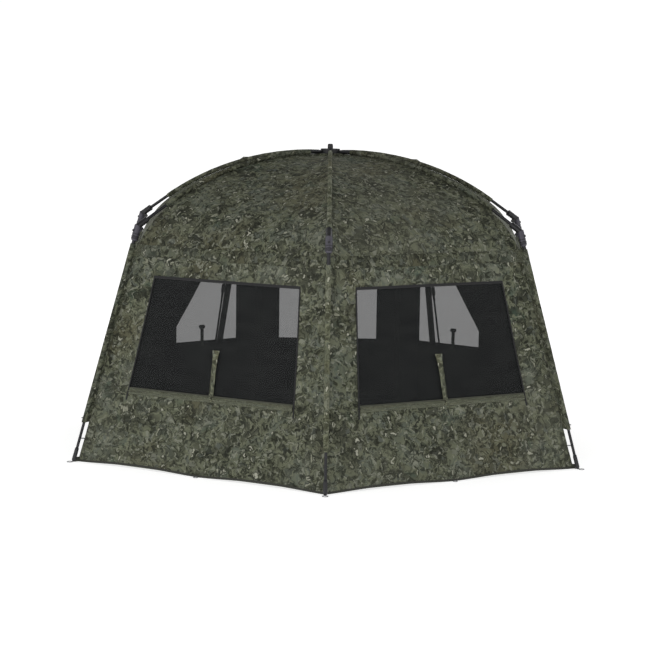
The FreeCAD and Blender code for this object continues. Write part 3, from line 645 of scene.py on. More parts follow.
ROWS_ABOVE = np.linspace(SEAM[1], WINDOW["top"], 4)
ROWS_PANE = np.concatenate([np.linspace(WINDOW["top"], SPLIT_Z, 9)[1:], np.linspace(SPLIT_Z, WINDOW["bottom"], 6)[1:]])
ROWS_BELOW = np.linspace(WINDOW["bottom"], 0, 12)[1:]
WALL_Z = np.concatenate([ROWS_ABOVE, ROWS_PANE, ROWS_BELOW])
SPLIT_ROW = int(np.argmin(abs(WALL_Z - SPLIT_Z)))
PANE_COLUMNS, EDGE_COLUMNS = 9, 6


def window_half(z):
    return lerp(WINDOW["half_top"], WINDOW["half_bottom"], (WINDOW["top"] - z) / (WINDOW["top"] - WINDOW["bottom"]))


def wall_panel(panel):
    """A panel's ends as bearings, the directions across it and out of it, and half its angle."""
    first, second = ends_of(panel)
    half = abs(second - first) / 2
    across = unit(polar(second, 1, 0) - polar(first, 1, 0))
    out = unit(outward(first) + outward(second))
    tilt = math.atan2((HEM_REACH - SEAM[0]) * math.cos(math.radians(half)), SEAM[1])
    return first, second, across, unit(out * math.cos(tilt) + np.array([0, 0, math.sin(tilt)])), half


def wall_spot(panel, t, z, lift=0.0):
    """A point of a wall, from its distance across from the middle and its height, pushed out by lift."""
    first, second, across, out, half = wall_panel(panel)
    z = np.asarray(z, float)
    middle = polar((first + second) / 2, wall_reach(z) * math.cos(math.radians(half)), z)
    lifted = np.asarray(lift, float)[..., None] + wall_lift(panel, t, z)[..., None]
    return middle + across * np.asarray(t, float)[..., None] + out * lifted


def wall_width(panel, z):
    return wall_reach(z) * math.sin(math.radians(wall_panel(panel)[4]))


def wall_share(panel, t, z):
    """How far across a wall a point is, from 0 at its first rib to 1 at its second."""
    return 0.5 + t / (2 * wall_width(panel, z))


WALL_SEED = {"rear_left": 3.1, "rear_right": 5.3, "side_left": 7.7, "side_right": 9.9}


def wall_lift(panel, t, z):
    """How far the cloth stands out of the wall's plane: drawn in between the legs, creased from the corners."""
    t, z = np.broadcast_arrays(np.asarray(t, float), np.asarray(z, float))
    seed = WALL_SEED[panel]
    out = np.zeros(t.shape)
    for k in np.ndindex(t.shape):
        s = wall_share(panel, t[k], z[k])
        v = 1 - z[k] / SEAM[1]
        taut = max(0.0, 4 * s * (1 - s))
        edge = min(1.0, 8 * max(0.0, s * (1 - s))) * min(1.0, 9 * v * (1.02 - v) + 0.05)
        crease = 0.0045 * ripple(4.2 * s, 3.0 * v, seed) + 0.0022 * ripple(13 * s + 4 * v, 5 * v, seed + 3)
        crease += 0.0018 * math.sin(21 * (s + 0.6 * v) + seed) * max(0.0, v - 0.55)
        out[k] = -0.010 * taut * math.sin(math.pi * v) + crease * edge
    return out


def hem_rise(panel, t, z):
    """The hem lifts a little between the pegged corners and the middle ring."""
    return 0.011 * abs(math.sin(2 * math.pi * wall_share(panel, t, z))) ** 1.4


def cells_in(points):
    """The grid's cells between a slice of its points."""
    return slice(points.start, points.stop - 1 if points.stop else None)


def part_name(name, panel, half, low):
    return f"{name}_{panel}_{half}_{'low' if low else 'high'}"


for number, panel in enumerate(PANELS):
    out = wall_panel(panel)[3]
    shares_pane = np.linspace(0, 1, PANE_COLUMNS + 1)
    shares_edge = np.linspace(0, 1, EDGE_COLUMNS + 1)[1:]
    columns = []
    for z in WALL_Z:
        w, h = float(wall_width(panel, z)), float(window_half(z))
        right = np.concatenate([shares_pane * h, h + shares_edge * (w - h)])
        columns.append(np.concatenate([-right[:0:-1], right]))
    T = np.stack(columns, axis=1)
    Z = np.tile(WALL_Z, (len(T), 1))
    raised = Z.copy()
    for k in np.ndindex(Z.shape):
        raised[k] += hem_rise(panel, T[k], Z[k]) * max(0.0, 1 - Z[k] / 0.16) ** 1.5
    P = wall_spot(panel, T, raised)
    flat = wall_spot(panel, T, Z) - wall_lift(panel, T, Z)[..., None] * out
    UV = uv_grid(T + 3.0 * number + 0.4, Z * WALL_SLOPE + 1.3 * number)
    middle = len(T) // 2
    keep = np.ones((len(T) - 1, len(WALL_Z) - 1), bool)
    if panel.startswith("rear"):
        top_row = len(ROWS_ABOVE) - 1
        keep[middle - PANE_COLUMNS : middle + PANE_COLUMNS, top_row : top_row + len(ROWS_PANE)] = False
    for half, rib, cols, towards in halves(panel, middle):
        for low, rows in ((False, slice(0, SPLIT_ROW + 1)), (True, slice(SPLIT_ROW, None))):
            kept = keep[cells_in(cols), cells_in(rows)]
            name = part_name("wall", panel, half, low)
            piece = cloth(name, P[cols, rows], UV[cols, rows], replaced="wall_" + panel, keep=kept)
            ride_wall(piece, rib, low)
            wide = float(wall_width(panel, 0 if low else SPLIT_Z))
            tall = (SPLIT_Z if low else SEAM[1] - SPLIT_Z) * WALL_SLOPE

# netting, zips, cover, strap and hem tape of the walls


def wall_part(panel, half, low, name, P, UV, material, thick=LAP, offset=1.0):
    piece = grid_piece(name, P, UV, [material], outside=from_inside)
    thicken(piece, thick, offset, False)
    rib, towards = next((rib, towards) for letter, rib, _, towards in halves(panel, 0) if letter == half)
    ride_wall(piece, rib, low)
    return piece


def spans(low_z, high_z):
    """A height range cut at the split: (low, bottom, top) for each part."""
    out = []
    if low_z < SPLIT_Z:
        out.append((True, low_z, min(high_z, SPLIT_Z)))
    if high_z > SPLIT_Z:
        out.append((False, max(low_z, SPLIT_Z), high_z))
    return out


def wall_band(
    panel, half, name, material, reach_t, low_z, high_z, lift, columns=16, rows=5, bulge=0.0, on_hem=False
):
    """A level band on a wall, from the panel's middle to reach_t, with an optional rounded bulge."""
    z = np.linspace(high_z, low_z, rows)
    share, across = np.linspace(0, 1, columns), np.linspace(0, 1, rows)
    T = (-1 if half == "a" else 1) * share[:, None] * reach_t(z)[None]
    Z = np.tile(z, (columns, 1))
    wavy = np.array([1 + 0.4 * ripple(9 * k, 2.0, 4.4) for k in share])
    lifts = lift + bulge * np.sin(np.pi * across)[None] * wavy[:, None]
    if on_hem:
        for k in np.ndindex(T.shape):
            Z[k] += hem_rise(panel, T[k], Z[k])
    P = wall_spot(panel, T, Z, np.broadcast_to(lifts, T.shape))
    low = (low_z + high_z) / 2 < SPLIT_Z
    return wall_part(panel, half, low, f"{name}_{panel}_{half}", P, uv_grid(T, across[None]), material)


def netting_piece(name, P, UV, ride, replaced=None):
    piece = grid_piece(name, P, UV, [NETTING], outside=from_inside)
    if replaced:
        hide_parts(replaced)
    ride(piece)


SILL, LINTEL = WINDOW["bottom"], WINDOW["top"]
TUCK = 0.006  # how far the netting runs on under the cloth
STRAP_TOP = 0.590
for panel in ("rear_left", "rear_right"):
    for half, rib, _, towards in halves(panel, 0):
        sign = -1 if half == "a" else 1
        for low, z0, z1 in spans(SILL - TUCK, LINTEL + TUCK):
            z = np.linspace(z1, z0, 10)
            T = sign * np.linspace(0, 1, 12)[:, None] * (window_half(z) + TUCK)[None]
            P = wall_spot(panel, T, np.tile(z, (12, 1)), np.full(T.shape, BEHIND))
            netting_piece(
                part_name("netting", panel, half, low),
                P,
                uv_grid(T, z[None]),
                lambda o: ride_wall(o, rib, low),
                "mesh_" + panel,
            )
        # a zip up the side, running on past the sill, a black strip along the top that is painted shadow under the
        # window's top edge, and the sill's binding
        for low, z0, z1 in spans(SILL - 0.060, LINTEL + 0.002):
            z = np.linspace(z1, z0, 12)
            shares = np.array([0, 0.12, 0.88, 1])
            T = sign * lerp(window_half(z)[None] - 0.003, window_half(z)[None] + 0.003, shares[:, None])
            lifts = np.array([0.3, 1, 1, 0.3])[:, None] * 0.0016
            P = wall_spot(panel, T, np.tile(z, (4, 1)), np.broadcast_to(lifts, T.shape))
            name = part_name("zip_side", panel, half, low)
            wall_part(panel, half, low, name, P, uv_grid(z[None], shares[:, None]), ZIP)
        # painted shadow: a black strip in the zip's cloth along the window's top edge
        wall_band(panel, half, "painted_shadow_top", ZIP, lambda z: window_half(z) + 0.003, LINTEL - 0.004, LINTEL + 0.009, 0.0016)
        wall_band(panel, half, "sill_binding", SEAM_TAPE, lambda z: window_half(z) - 0.004, SILL - 0.006, SILL + 0.002, 0.0018)
        # the folded cover under the sill
        cover = wall_band(
            panel, half, "folded_cover", FLAP, lambda z: window_half(z) - 0.006, SILL - 0.030, SILL - 0.004, 0.0015,
            bulge=0.004, rows=9,
        )
    # the strap that stands up in front of the netting, wider at its top
    for low, z0, z1 in ((True, 0.352, SPLIT_Z), (False, SPLIT_Z, STRAP_TOP)):
        z = np.linspace(z0, z1, 14 if low else 4)
        half_wide = 0.0125 + 0.007 * np.clip((z - 0.50) / 0.09, 0, 1) ** 2
        lean = 0.010 * (STRAP_TOP - z) / 0.24 * (-1 if panel == "rear_left" else 1)
        T = np.stack([lean + k * half_wide for k in (-1, -0.7, 0, 0.7, 1)])
        crown = np.array([0, 0.001, 0.0016, 0.001, 0])
        lifts = 0.006 + 0.003 * np.sin((z - 0.352) * 13)[None] + crown[:, None]
        P = wall_spot(panel, T, np.tile(z, (5, 1)), lifts)
        UV = uv_grid(z[None] + 2.2, np.linspace(0, 0.03, 5)[:, None] + 1.1)
        name = f"strap_{panel}_{'low' if low else 'high'}"
        strap = wall_part(panel, "a", low, name, P, UV, STRAP, 0.002, -1.0)
        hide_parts("window_straps")

for panel in PANELS:
    for half in "ab":
        wall_band(
            panel, half, "hem_tape", HEM_TAPE, lambda z: wall_width(panel, z) - 0.002, 0.0008, 0.010, 0.0012,
            columns=26, rows=3, on_hem=True,
        )

# ------------------------------------------------------------------ sleeves on the poles


def sleeve(name, centres, inwards, depth, across, radius, body, seed, material):
    """A fabric sleeve round a pole: round over the pole and drawn together where it is sewn to the panel."""
    depth, radius = np.broadcast_to(depth, len(centres)), np.broadcast_to(radius, len(centres))
    along = running(centres)
    rings = []
    for k, (c, n) in enumerate(zip(centres, inwards)):
        r = radius[k] * (1 + 0.05 * ripple(along[k] * 26, 0.0, seed))
        seam, waist = c + n * depth[k], c + n * (0.5 * depth[k] + 0.25 * r)
        ring = [seam + across * 0.0022, waist + across * 0.40 * r]
        for a in np.radians(np.linspace(58, 302, 19)):
            rr = r * (1 + 0.045 * ripple(along[k] * 34, 2.0 * a, seed + 5))
            ring.append(c + n * rr * math.cos(a) + across * rr * math.sin(a))
        rings.append(ring + [waist - across * 0.40 * r, seam - across * 0.0022])
    P = np.array(rings)
    round_it = running(P[0])
    UV = uv_grid(round_it[None] + seed, along[:, None] + 0.31 * seed)
    piece = grid_piece(name, P, UV, [material, LINING])
    turn_out(piece, lambda c: c - centres[np.argmin(np.linalg.norm(centres - c, axis=1))])
    thicken(piece, LAP)
    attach(piece, body)


for number, (rib, bearing) in enumerate(RIBS.items()):
    rear = rib == "rear"
    # the rear sleeve wears the lighter cloth with the painted highlight
    material = LIT_REAR_SLEEVE if rear else SLEEVE
    reaches = np.linspace(*((0.080, 1.034) if rear else (0.120, 0.936)), 60)
    centres, down = map(np.array, zip(*(pole_point(bearing, r) for r in reaches)))
    radius = np.interp(reaches, [0.990, 1.010], [0.0108, 0.0150])  # wider over the elbow's socket
    sleeve(
        "roof_sleeve_" + rib, centres, down, SKIN_GAP - 0.0005, sideways(bearing), radius,
        "rib_" + rib, 1.0 + number, material,
    )
    for part, d0, d1, body, pole in (
        ("high", 0.128 if rear else 0.088, 0.640, "leg_" + rib, "leg_tube_" + rib),
        ("low", 0.640, 0.999, "foot_" + rib, "foot_pole_" + rib),
    ):
        centres = np.array([leg_point(bearing, d) for d in np.linspace(d0, d1, 40)])
        z = centres[:, 2]
        corner = polar(bearing, wall_reach(z), z)
        depth = np.linalg.norm(corner - centres, axis=1)
        name, inwards = f"leg_sleeve_{rib}_{part}", unit(corner - centres)
        sleeve(name, centres, inwards, depth, sideways(bearing), 0.0128, body, 11.0 + number, material)

# a round patch of the roof's cloth under the hub, between the roots of the ribs: (radius, height)
CROWN = ((0.046, 1.4995), (0.054, 1.5035), (0.070, 1.5030), (0.088, 1.4965), (0.104, 1.4895))
turns = np.degrees(np.linspace(0, 2 * math.pi, 60, endpoint=False))
P = np.array([polar(turn, *np.array(CROWN).T) for turn in turns])
piece = grid_piece("crown_patch", P, P[..., :2], [CAMO, LINING], around=True)
turn_out(piece, lambda c: np.array([0, 0, 1.0]))
thicken(piece, LAP)
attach(piece, "hub")

# ------------------------------------------------------------------ front wings, door and its surround

WING_PANE = (0.395, 0.960)  # its lowest and highest height
WING_Z = [
    np.linspace(PROW_TOP[1], SEAM[1], 12),
    np.linspace(SEAM[1], WING_PANE[1], 4)[1:],
    np.linspace(WING_PANE[1], 0.450, 12)[1:],
    [0.42, WING_PANE[0]],
    np.linspace(WING_PANE[0], 0, 10)[1:],
]
WING_Z = np.concatenate(WING_Z)
PANE_LOW_ROW, PANE_TOP_ROW = (int(np.argmin(abs(WING_Z - z))) for z in WING_PANE)
PANE_ROWS = slice(PANE_TOP_ROW, PANE_LOW_ROW + 1)
WING_PARTS = (8, 8, 2)  # columns outside the pane, in it, and between it and the prow
PANE_GRID = 10


def wing_ends(side, z):
    """The wing's edge at the rib, or at the hood above the seam, and its edge at the prow, at each height."""
    rib, prow = RIBS["front_" + side], PROW[side]
    seam, tip = polar(rib, *SEAM), polar(prow, *PROW_TOP)
    outer = [
        polar(rib, wall_reach(h), h) if h <= SEAM[1] else lerp(seam, tip, (h - SEAM[1]) / (PROW_TOP[1] - SEAM[1]))
        for h in z
    ]
    return np.array(outer), np.array([polar(prow, prow_reach(h), h) for h in z])


def wing_out(side):
    return unit(outward(RIBS["front_" + side]) + outward(PROW[side]))


def wing_shares(outer, inner, across):
    """Shares from the rib to the prow of the points that are a distance across from the shelter's middle."""
    outer, inner = abs(outer[:, 0] - HUB.x), abs(inner[:, 0] - HUB.x)
    return (outer - across) / np.maximum(outer - inner, 1e-6)


def wing_grid(side, z, lift=0.0, pane=False):
    """A grid over the whole wing, or over its pane only."""
    outer, inner = wing_ends(side, z)
    slant = np.interp(z, [0.500, 0.960], [0.858, 0.612])
    start = np.clip(wing_shares(outer, inner, slant), 0.10, 0.80)
    end = np.clip(wing_shares(outer, inner, 0.520), start + 0.12, 0.996)
    if pane:
        F = lerp(start[None], end[None], np.linspace(0, 1, PANE_GRID)[:, None])
    else:
        steps = [np.linspace(0, 1, cells + 1)[:, None] for cells in WING_PARTS]
        outside, over = steps[0][:-1] * start[None], lerp(start[None], end[None], steps[1][:-1])
        F = np.concatenate([outside, over, lerp(end[None], 1, steps[2])])
    amount = np.zeros(F.shape)
    for k in np.ndindex(F.shape):
        s, v = F[k], 1 - z[k[1]] / PROW_TOP[1]
        wrinkle = 0.004 * ripple(4 * s, 4 * v, 21.0) + 0.002 * ripple(14 * s, 6 * v, 25.0)
        amount[k] = -0.012 * 4 * s * (1 - s) * math.sin(math.pi * v) + min(1.0, 7 * s * (1 - s)) * wrinkle
    P = outer[None] + (inner - outer)[None] * F[..., None] + wing_out(side) * (amount + lift)[..., None]
    across = np.linalg.norm(inner - outer, axis=-1)
    return P, uv_grid(F * across[None] + (5.0 if side == "left" else 8.0), z[None] * 1.02)


def ride_wing(piece, side):
    """A wing rides the hub, on its own copy of its mesh."""
    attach(piece, "hub")
    edge = unit(polar(PROW[side], PROW_HEM_REACH, 0) - polar(PROW[side], *PROW_TOP))
    span = polar(RIBS["front_" + side], HEM_REACH, 0) - polar(PROW[side], PROW_HEM_REACH, 0)
    span = unit(span - (span @ edge) * edge)
    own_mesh(piece)


TOGGLE = [(0.0, 0.004), (0.0015, 0.0085), (0.004, 0.0105), (0.0175, 0.0112)]
TOGGLE += [(0.031, 0.0105), (0.0335, 0.0085), (0.035, 0.004)]
TOGGLE_X = {"left": -0.7175, "right": 0.7175}
STRAP_X = {"left": (0.624, 0.562), "right": (0.610, 0.566)}  # low and 0.425 m higher
for side in PROW:
    P, UV = wing_grid(side, WING_Z)
    keep = np.ones((P.shape[0] - 1, P.shape[1] - 1), bool)
    keep[WING_PARTS[0] : WING_PARTS[0] + WING_PARTS[1], cells_in(PANE_ROWS)] = False
    P[:, -1, 2] = np.maximum(P[:, -1, 2], 0.0)
    piece = cloth("wing_" + side, P, UV, replaced="front_wing_" + side, keep=keep)
    ride_wing(piece, side)
    z = WING_Z[PANE_ROWS].copy()
    z[0] += 0.004
    z[-1] -= 0.004
    P, UV = wing_grid(side, z, BEHIND, pane=True)
    name, rests_on = "wing_netting_" + side, ["wing_" + side]
    netting_piece(name, P, UV, lambda o: ride_wing(o, side))
    # piping round the pane
    P, _ = wing_grid(side, WING_Z[PANE_ROWS], pane=True)
    for part, line in (("outer", P[0]), ("inner", P[-1]), ("top", P[:, 0]), ("sill", P[:, -1])):
        out = wing_out(side)
        level = unit(np.cross(out, unit(line[-1] - line[0])))
        ride_wing(strip_piece(f"wing_zip_{part}_{side}", line, level, 0.012, ZIP, 0.0025, out), side)
    # a toggle on a tab that stands up inside the pane's sill
    outer, inner = wing_ends(side, np.array([WING_PANE[0]]))
    share = (outer[0, 0] - HUB.x - TOGGLE_X[side]) / (outer[0, 0] - inner[0, 0])
    base = lerp(outer[0], inner[0], share)
    edge = unit(np.array([0, 0, 1.0]) - 0.06 * outward(90))
    level = unit(inner[0] - outer[0])
    inward = -unit(base - np.array([HUB.x, HUB.y, base[2]]))
    line = np.array([base + inward * 0.010 + edge * h for h in np.linspace(-0.02, 0.084, 12)])
    ride_wing(strip_piece("toggle_tab_" + side, line, level, 0.022, SLEEVE, 0.002, inward, 0.003), side)
    end = line[-1] - level * TOGGLE[-1][0] / 2 + edge * 0.004
    ride_wing(lathe("toggle_" + side, end, level, TOGGLE, PLASTIC), side)
    # a dark strap across the pane, beside the storm pole
    heights = np.linspace(0.965, 0.385, 16)
    outer, inner = wing_ends(side, heights)
    across = lerp(*STRAP_X[side], (heights - WING_PANE[0]) / 0.425)
    line = lerp(outer, inner, wing_shares(outer, inner, across)[:, None]) + inward * 0.016
    level = unit(inner[0] - outer[0])
    ride_wing(strip_piece("wing_strap_" + side, line, level, 0.046, BAND, 0.0012, inward, 0.0015), side)


def front_spot(x, z, lift=0.0):
    """A point of the front wall, where the door is."""
    y = HUB.y + prow_reach(np.asarray(z, float)) * math.sin(math.radians(PROW["right"]))
    return np.stack(np.broadcast_arrays(HUB.x + np.asarray(x, float), y + lift, z), axis=-1)


def rect_rows(*stops):
    """Positions from stop to stop, each (value, cells to it)."""
    out = [np.array([stops[0][0]])]
    for (start, _), (end, cells) in zip(stops, stops[1:]):
        out.append(np.linspace(start, end, cells + 1)[1:])
    return np.concatenate(out)


def framed_grid(xs, zs, hole):
    """A grid and the cells of it that are outside a hole."""
    X, Z = np.meshgrid(xs, zs, indexing="ij")
    mid_x, mid_z = (X[:-1, :-1] + X[1:, 1:]) / 2, (Z[:-1, :-1] + Z[1:, 1:]) / 2
    return X, Z, ~((mid_x > hole[0]) & (mid_x < hole[1]) & (mid_z > hole[2]) & (mid_z < hole[3]))


# each (left, right, bottom, top)
OPENING = (-0.4, 0.4, 0.06, 1.38)
DOOR = (-0.397, 0.397, 0.0635, 1.3715)
PANE = (-0.286, 0.286, 0.4, 1.2375)
FRONT_TOP, FRONT_LOW = (reach * math.cos(math.radians(PROW["right"])) for reach in (PROW_TOP[0], PROW_HEM_REACH))
xs = rect_rows((-1, 0), (OPENING[0], 3), (OPENING[1], 18), (1, 3))
zs = rect_rows((0, 0), (OPENING[2], 2), (OPENING[3], 30), (PROW_TOP[1], 3))
X, Z, keep = framed_grid(xs, zs, OPENING)
# the columns beside the opening are drawn to the front's slanting edges
beyond = (abs(X) - OPENING[1]) / (1 - OPENING[1])
slanted = np.sign(X) * lerp(OPENING[1], lerp(FRONT_LOW, FRONT_TOP, Z / PROW_TOP[1]), beyond)
X = np.where(abs(X) > OPENING[1], slanted, X)
P = front_spot(X, Z)
wide, tall = 1.03, 1.443
UV = uv_grid(X + 11.0, Z)
piece = cloth("door_surround_cloth", P, UV, replaced="door_surround", keep=keep, outside=(0, 1, 0))
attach(piece, "hub")

xs = rect_rows((DOOR[0], 0), (PANE[0], 4), (PANE[1], 16), (DOOR[1], 4))
zs = rect_rows((DOOR[2], 0), (PANE[2], 10), (PANE[3], 20), (DOOR[3], 5))
X, Z, keep = framed_grid(xs, zs, PANE)
lift = np.zeros(X.shape)
for k in np.ndindex(X.shape):
    free = min(1.0, (DOOR[1] - abs(X[k])) * 12) * min(1.0, (Z[k] - DOOR[2]) * 9)
    free *= min(1.0, max(0.0, DOOR[3] - Z[k]) * 9)
    lift[k] = free * (0.004 * ripple(5 * X[k], 5 * Z[k], 31.0) - 0.001)
P = front_spot(X, Z, lift)
piece = cloth("door_leaf", P, uv_grid(X + 14.0, Z + 0.3), replaced="door_panel", keep=keep, outside=(0, 1, 0))
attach(piece, "door")
xs, zs = np.linspace(PANE[0] - 0.004, PANE[1] + 0.004, 12), np.linspace(PANE[2] - 0.004, PANE[3] + 0.004, 16)
X, Z = np.meshgrid(xs, zs, indexing="ij")
P = front_spot(X, Z, BEHIND)
ride = lambda o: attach(o, "door")
netting_piece("door_netting", P, uv_grid(X, Z), ride, "door_mesh")


def front_tape(name, ends, width, material, body, lift=0.0026):
    (x0, z0), (x1, z1) = ends
    t = np.linspace(0, 1, 24)
    line = front_spot(lerp(x0, x1, t), lerp(z0, z1, t), 0.001)
    out = np.array([0, 1.0, 0.05])
    side = unit(np.cross(out, unit(line[-1] - line[0])))
    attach(strip_piece(name, line, side, width, material, lift, unit(out)), body)


def tape_frame(name, half, low, high, reach, levels, *tape):
    """Tapes up both sides of an opening and, reaching a little further, across it at each level."""
    for label, x in (("left", -half), ("right", half)):
        front_tape(f"{name}_{label}", ((x, low), (x, high)), *tape)
    for label, z in levels.items():
        front_tape(f"{name}_{label}", ((-reach, z), (reach, z)), *tape)


levels = {"sill": PANE[2], "top": PANE[3]}
tape_frame("door_pane_zip", PANE[1], PANE[2], PANE[3], PANE[1] + 0.006, levels, 0.013, ZIP, "door")
tape_frame("door_zip", 0.4085, 0.055, 1.384, 0.414, {"top": 1.3875}, 0.014, ZIP, "hub")
# strips behind the gap round the door
levels = {"top": 1.376, "sill": 0.0618}
tape_frame("door_seal", 0.3985, 0.05, 1.385, 0.41, levels, 0.034, LINING, "hub", -0.0045)
front_tape("front_hem_tape", ((-FRONT_LOW, 0.009), (FRONT_LOW, 0.009)), 0.016, HEM_TAPE, "hub", 0.0015)
for side in PROW:
    outer, inner = wing_ends(side, np.array([0.017, 0.009, 0.001]))
    share = np.linspace(0, 1, 24)
    P = outer[None] + (inner - outer)[None] * share[:, None, None]
    P = P + unit(P[:, :1] - np.array([HUB.x, HUB.y, 0.009])) * 0.0022
    UV = uv_grid(share[:, None] * 0.95, np.linspace(0, 1, 3)[None])
    tape = grid_piece("wing_hem_tape_" + side, P, UV, [HEM_TAPE], outside=from_inside)
    thicken(tape, LAP, 1.0, False)
    ride_wing(tape, side)

# ------------------------------------------------------------------ groundsheet

INSET = 0.012
corners = [polar(RIBS[r], HEM_REACH - INSET, 0) for r in ("rear", "right", "front_right")]
corners += [polar(PROW[s], PROW_HEM_REACH - INSET, 0) for s in ("right", "left")]
corners += [polar(RIBS[r], HEM_REACH - INSET, 0) for r in ("front_left", "left")]
rim = []
for c, following in zip(corners, corners[1:] + corners[:1]):
    rim += [lerp(c, following, t) for t in np.linspace(0, 1, 12, endpoint=False)]
rim = np.array(rim + [rim[0]])
centre = np.array([HUB.x, HUB.y, 0.0])
rings = np.concatenate([[1.0, 0.994, 0.975], np.linspace(0.95, 0.0, 24)])
P = centre + (rim[:, None] - centre) * rings[None, :, None]
for k in np.ndindex(P.shape[:2]):
    x, y, _ = P[k]
    creases = 0.0022 * (1 + ripple(3.2 * x, 3.2 * y, 41.0)) + 0.001 * (1 + ripple(9 * x, 9 * y, 42.0))
    P[k][2] = 0.0022 + creases * min(1.0, 12 * (1 - rings[k[1]]))
# the edge is turned up
P[:, 0, 2] += 0.020
P[:, 1, 2] += 0.004
piece = grid_piece("groundsheet_cloth", P, P[..., :2], [GROUND], outside=(0, 0, 1))
weld = bmesh.new()
weld.from_mesh(piece.data)
bmesh.ops.remove_doubles(weld, verts=weld.verts, dist=1e-5)
weld.to_mesh(piece.data)
weld.free()
thicken(piece, LAP, lined=False)
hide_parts("groundsheet")
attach(piece, "hub")

# ------------------------------------------------------------------ hard parts


def ring_profile(at, wide, inner, outer, bevel=0.0008):
    """A closed band with bevelled edges."""
    end = at + wide
    rise = [(at, inner), (at, outer - bevel), (at + bevel, outer)]
    return rise + [(end - bevel, outer), (end, outer - bevel), (end, inner), (at, inner)]


# (distance along from the elbow, width, outer radius)
BARREL_RINGS = ((0.038, 0.0035, 0.0182), (0.050, 0.005, 0.0186), (0.0575, 0.003, 0.0182), (0.0625, 0.003, 0.0182))
SOCKET_RINGS = ((-0.0585, 0.006, 0.0162), (-0.046, 0.003, 0.0158), (-0.034, 0.003, 0.0158))
# (distance along from the foot's end, radius)
BOOT = ((-0.062, 0.0070), (-0.061, 0.0090), (-0.050, 0.0098), (-0.030, 0.0100))
BOOT += ((-0.004, 0.0104), (0.001, 0.0098), (0.001, 0.0088))
PEG_RING, PEG_WIRE = 0.013, 0.0019  # radii
for rib, bearing in RIBS.items():
    elbow = leg_point(bearing, 0)
    down = unit(leg_point(bearing, 1) - elbow)
    for k, (at, wide, outer) in enumerate(BARREL_RINGS):
        lathe(f"barrel_ring_{rib}_{k}", elbow, down, ring_profile(at, wide, 0.0165, outer), KNUCKLE, "leg_" + rib)
    out = unit(pole_point(bearing, 1.05)[0] - pole_point(bearing, 1.0)[0])
    for k, (at, wide, outer) in enumerate(SOCKET_RINGS):
        lathe(f"socket_ring_{rib}_{k}", elbow, out, ring_profile(at, wide, 0.0145, outer), KNUCKLE, "rib_" + rib)
    # a bright peg ring over the one that the foot carries
    foot_down = (ELBOW[1] - 0.009) / math.cos(LEAN)
    foot = leg_point(bearing, foot_down)
    centre = np.array([foot[0], foot[1], 0.00175]) + outward(bearing) * 0.022
    a = np.linspace(0, 2 * math.pi, 32, endpoint=False)[:, None]
    b = np.linspace(0, 2 * math.pi, 13)[None]
    reach = PEG_RING + PEG_WIRE * np.cos(b)
    P = centre + np.stack(np.broadcast_arrays(np.cos(a) * reach, np.sin(a) * reach, PEG_WIRE * np.sin(b)), axis=-1)
    piece = grid_piece("foot_ring_" + rib, P, np.zeros(P.shape[:2] + (2,)), [STEEL], around=True)
    turn_out(piece, lambda c: c - centre - unit((c - centre) * [1, 1, 0]) * PEG_RING)
    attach(piece, "foot_" + rib)
    boot = [(foot_down + at, radius) for at, radius in BOOT]
    lathe("foot_boot_" + rib, elbow, down, boot, PLASTIC, "foot_" + rib)

# a tab from each corner of the walls to the foot
for rib, bearing in RIBS.items():
    foot = leg_point(bearing, (ELBOW[1] - 0.012) / math.cos(LEAN))
    base = polar(bearing, wall_reach(0.012) - 0.004, 0.012)
    line = np.array([lerp(base, foot, t) for t in np.linspace(0, 1, 6)])
    up = np.array([0, 0, 1.0])
    tab = strip_piece("corner_tab_" + rib, line, up, 0.022, HEM_TAPE, 0.0012, sideways(bearing), 0.002)
    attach(tab, "foot_" + rib)

PAINTS = {
    ("roof_pole", "leg_tube", "foot_pole", "storm_upper", "storm_lower"): TUBE,
    ("elbow_barrel",): BARREL,
    ("elbow_socket", "storm_lock"): KNUCKLE,
    ("hub_block", "hub_cap", "elbow_button"): PLASTIC,
    ("hub_pivot", "hem_peg"): STEEL,
}
for name in nodes:
    for starts, material in PAINTS.items():
        if name.startswith(starts):
            mesh = nodes[name].data
            mesh.materials.clear()
            mesh.materials.append(material)
            mesh.polygons.foreach_set("material_index", [0] * len(mesh.polygons))

# ------------------------------------------------------------------ stage, light and camera

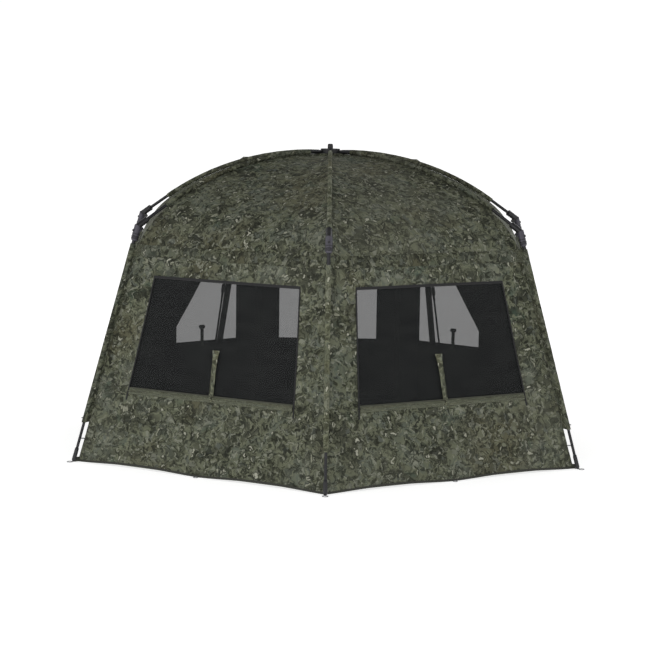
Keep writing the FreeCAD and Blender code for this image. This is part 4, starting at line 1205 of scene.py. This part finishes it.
FLOOR, FLOOR_Z = 60.0, -0.0006
floor = bpy.data.objects.new("floor", bpy.data.meshes.new("floor"))
spots = [(x, y, FLOOR_Z) for x, y in ((-FLOOR, -FLOOR), (FLOOR, -FLOOR), (FLOOR, FLOOR), (-FLOOR, FLOOR))]
floor.data.from_pydata(spots, [], [(0, 1, 2, 3)])
scene.collection.objects.link(floor)
paper = Graph("pale_floor")
paper.set(Base_Color=(0.9, 0.9, 0.9, 1.0), Roughness=0.9, Specular_IOR_Level=0.0)
paper.set(Emission_Color=(1.0, 1.0, 1.0, 1.0), Emission_Strength=0.62)
floor.data.materials.append(paper.material)

world = bpy.data.worlds.new("studio")
scene.world = world
world.use_nodes = True
sky = next(n for n in world.node_tree.nodes if n.type == "BACKGROUND")
sky.inputs[0].default_value = (1.0, 1.0, 1.0, 1.0)
height = world.node_tree.nodes.new("ShaderNodeSeparateXYZ")
direction = world.node_tree.nodes.new("ShaderNodeTexCoord")
dim = world.node_tree.nodes.new("ShaderNodeMapRange")
dim.interpolation_type = "SMOOTHSTEP"
for index, value in ((1, 0.2), (2, 0.92), (3, 1.04), (4, 0.28)):
    dim.inputs[index].default_value = value
world.node_tree.links.new(direction.outputs["Generated"], height.inputs[0])
world.node_tree.links.new(height.outputs["Z"], dim.inputs[0])
world.node_tree.links.new(dim.outputs[0], sky.inputs[1])
scene.view_settings.view_transform = "Standard"


def softbox(name, place, target, size, power):
    lamp = bpy.data.lights.new(name, "AREA")
    lamp.shape, lamp.size, lamp.energy = "DISK", size, power
    made = bpy.data.objects.new(name, lamp)
    made.location = place
    made.rotation_mode = "QUATERNION"
    made.rotation_quaternion = (Vector(target) - Vector(place)).to_track_quat("-Z", "Y")
    scene.collection.objects.link(made)


softbox("key", (-5.0, -9.0, 4.5), (0, 0, 0.7), 5.0, 150)
softbox("fill", (6.0, 8.0, 4.5), (0, 0, 0.7), 5.0, 120)

# the camera stands DISTANCE metres behind the hub
DISTANCE, CAMERA_Z, TILT, ROLL = 10.26, 1.880, 7.1, 0.85
lens = bpy.data.cameras.new("camera")
lens.sensor_width, lens.lens = 36.0, 109.44
lens.shift_x, lens.shift_y = -0.004154, 0.001231
lens.clip_end = 300
camera = bpy.data.objects.new("camera", lens)
camera.matrix_world = (
    Matrix.Translation((HUB.x, HUB.y - DISTANCE, CAMERA_Z))
    @ Matrix.Rotation(math.radians(90 - TILT), 4, "X")
    @ Matrix.Rotation(math.radians(ROLL), 4, "Z")
)
scene.collection.objects.link(camera)
scene.camera = camera
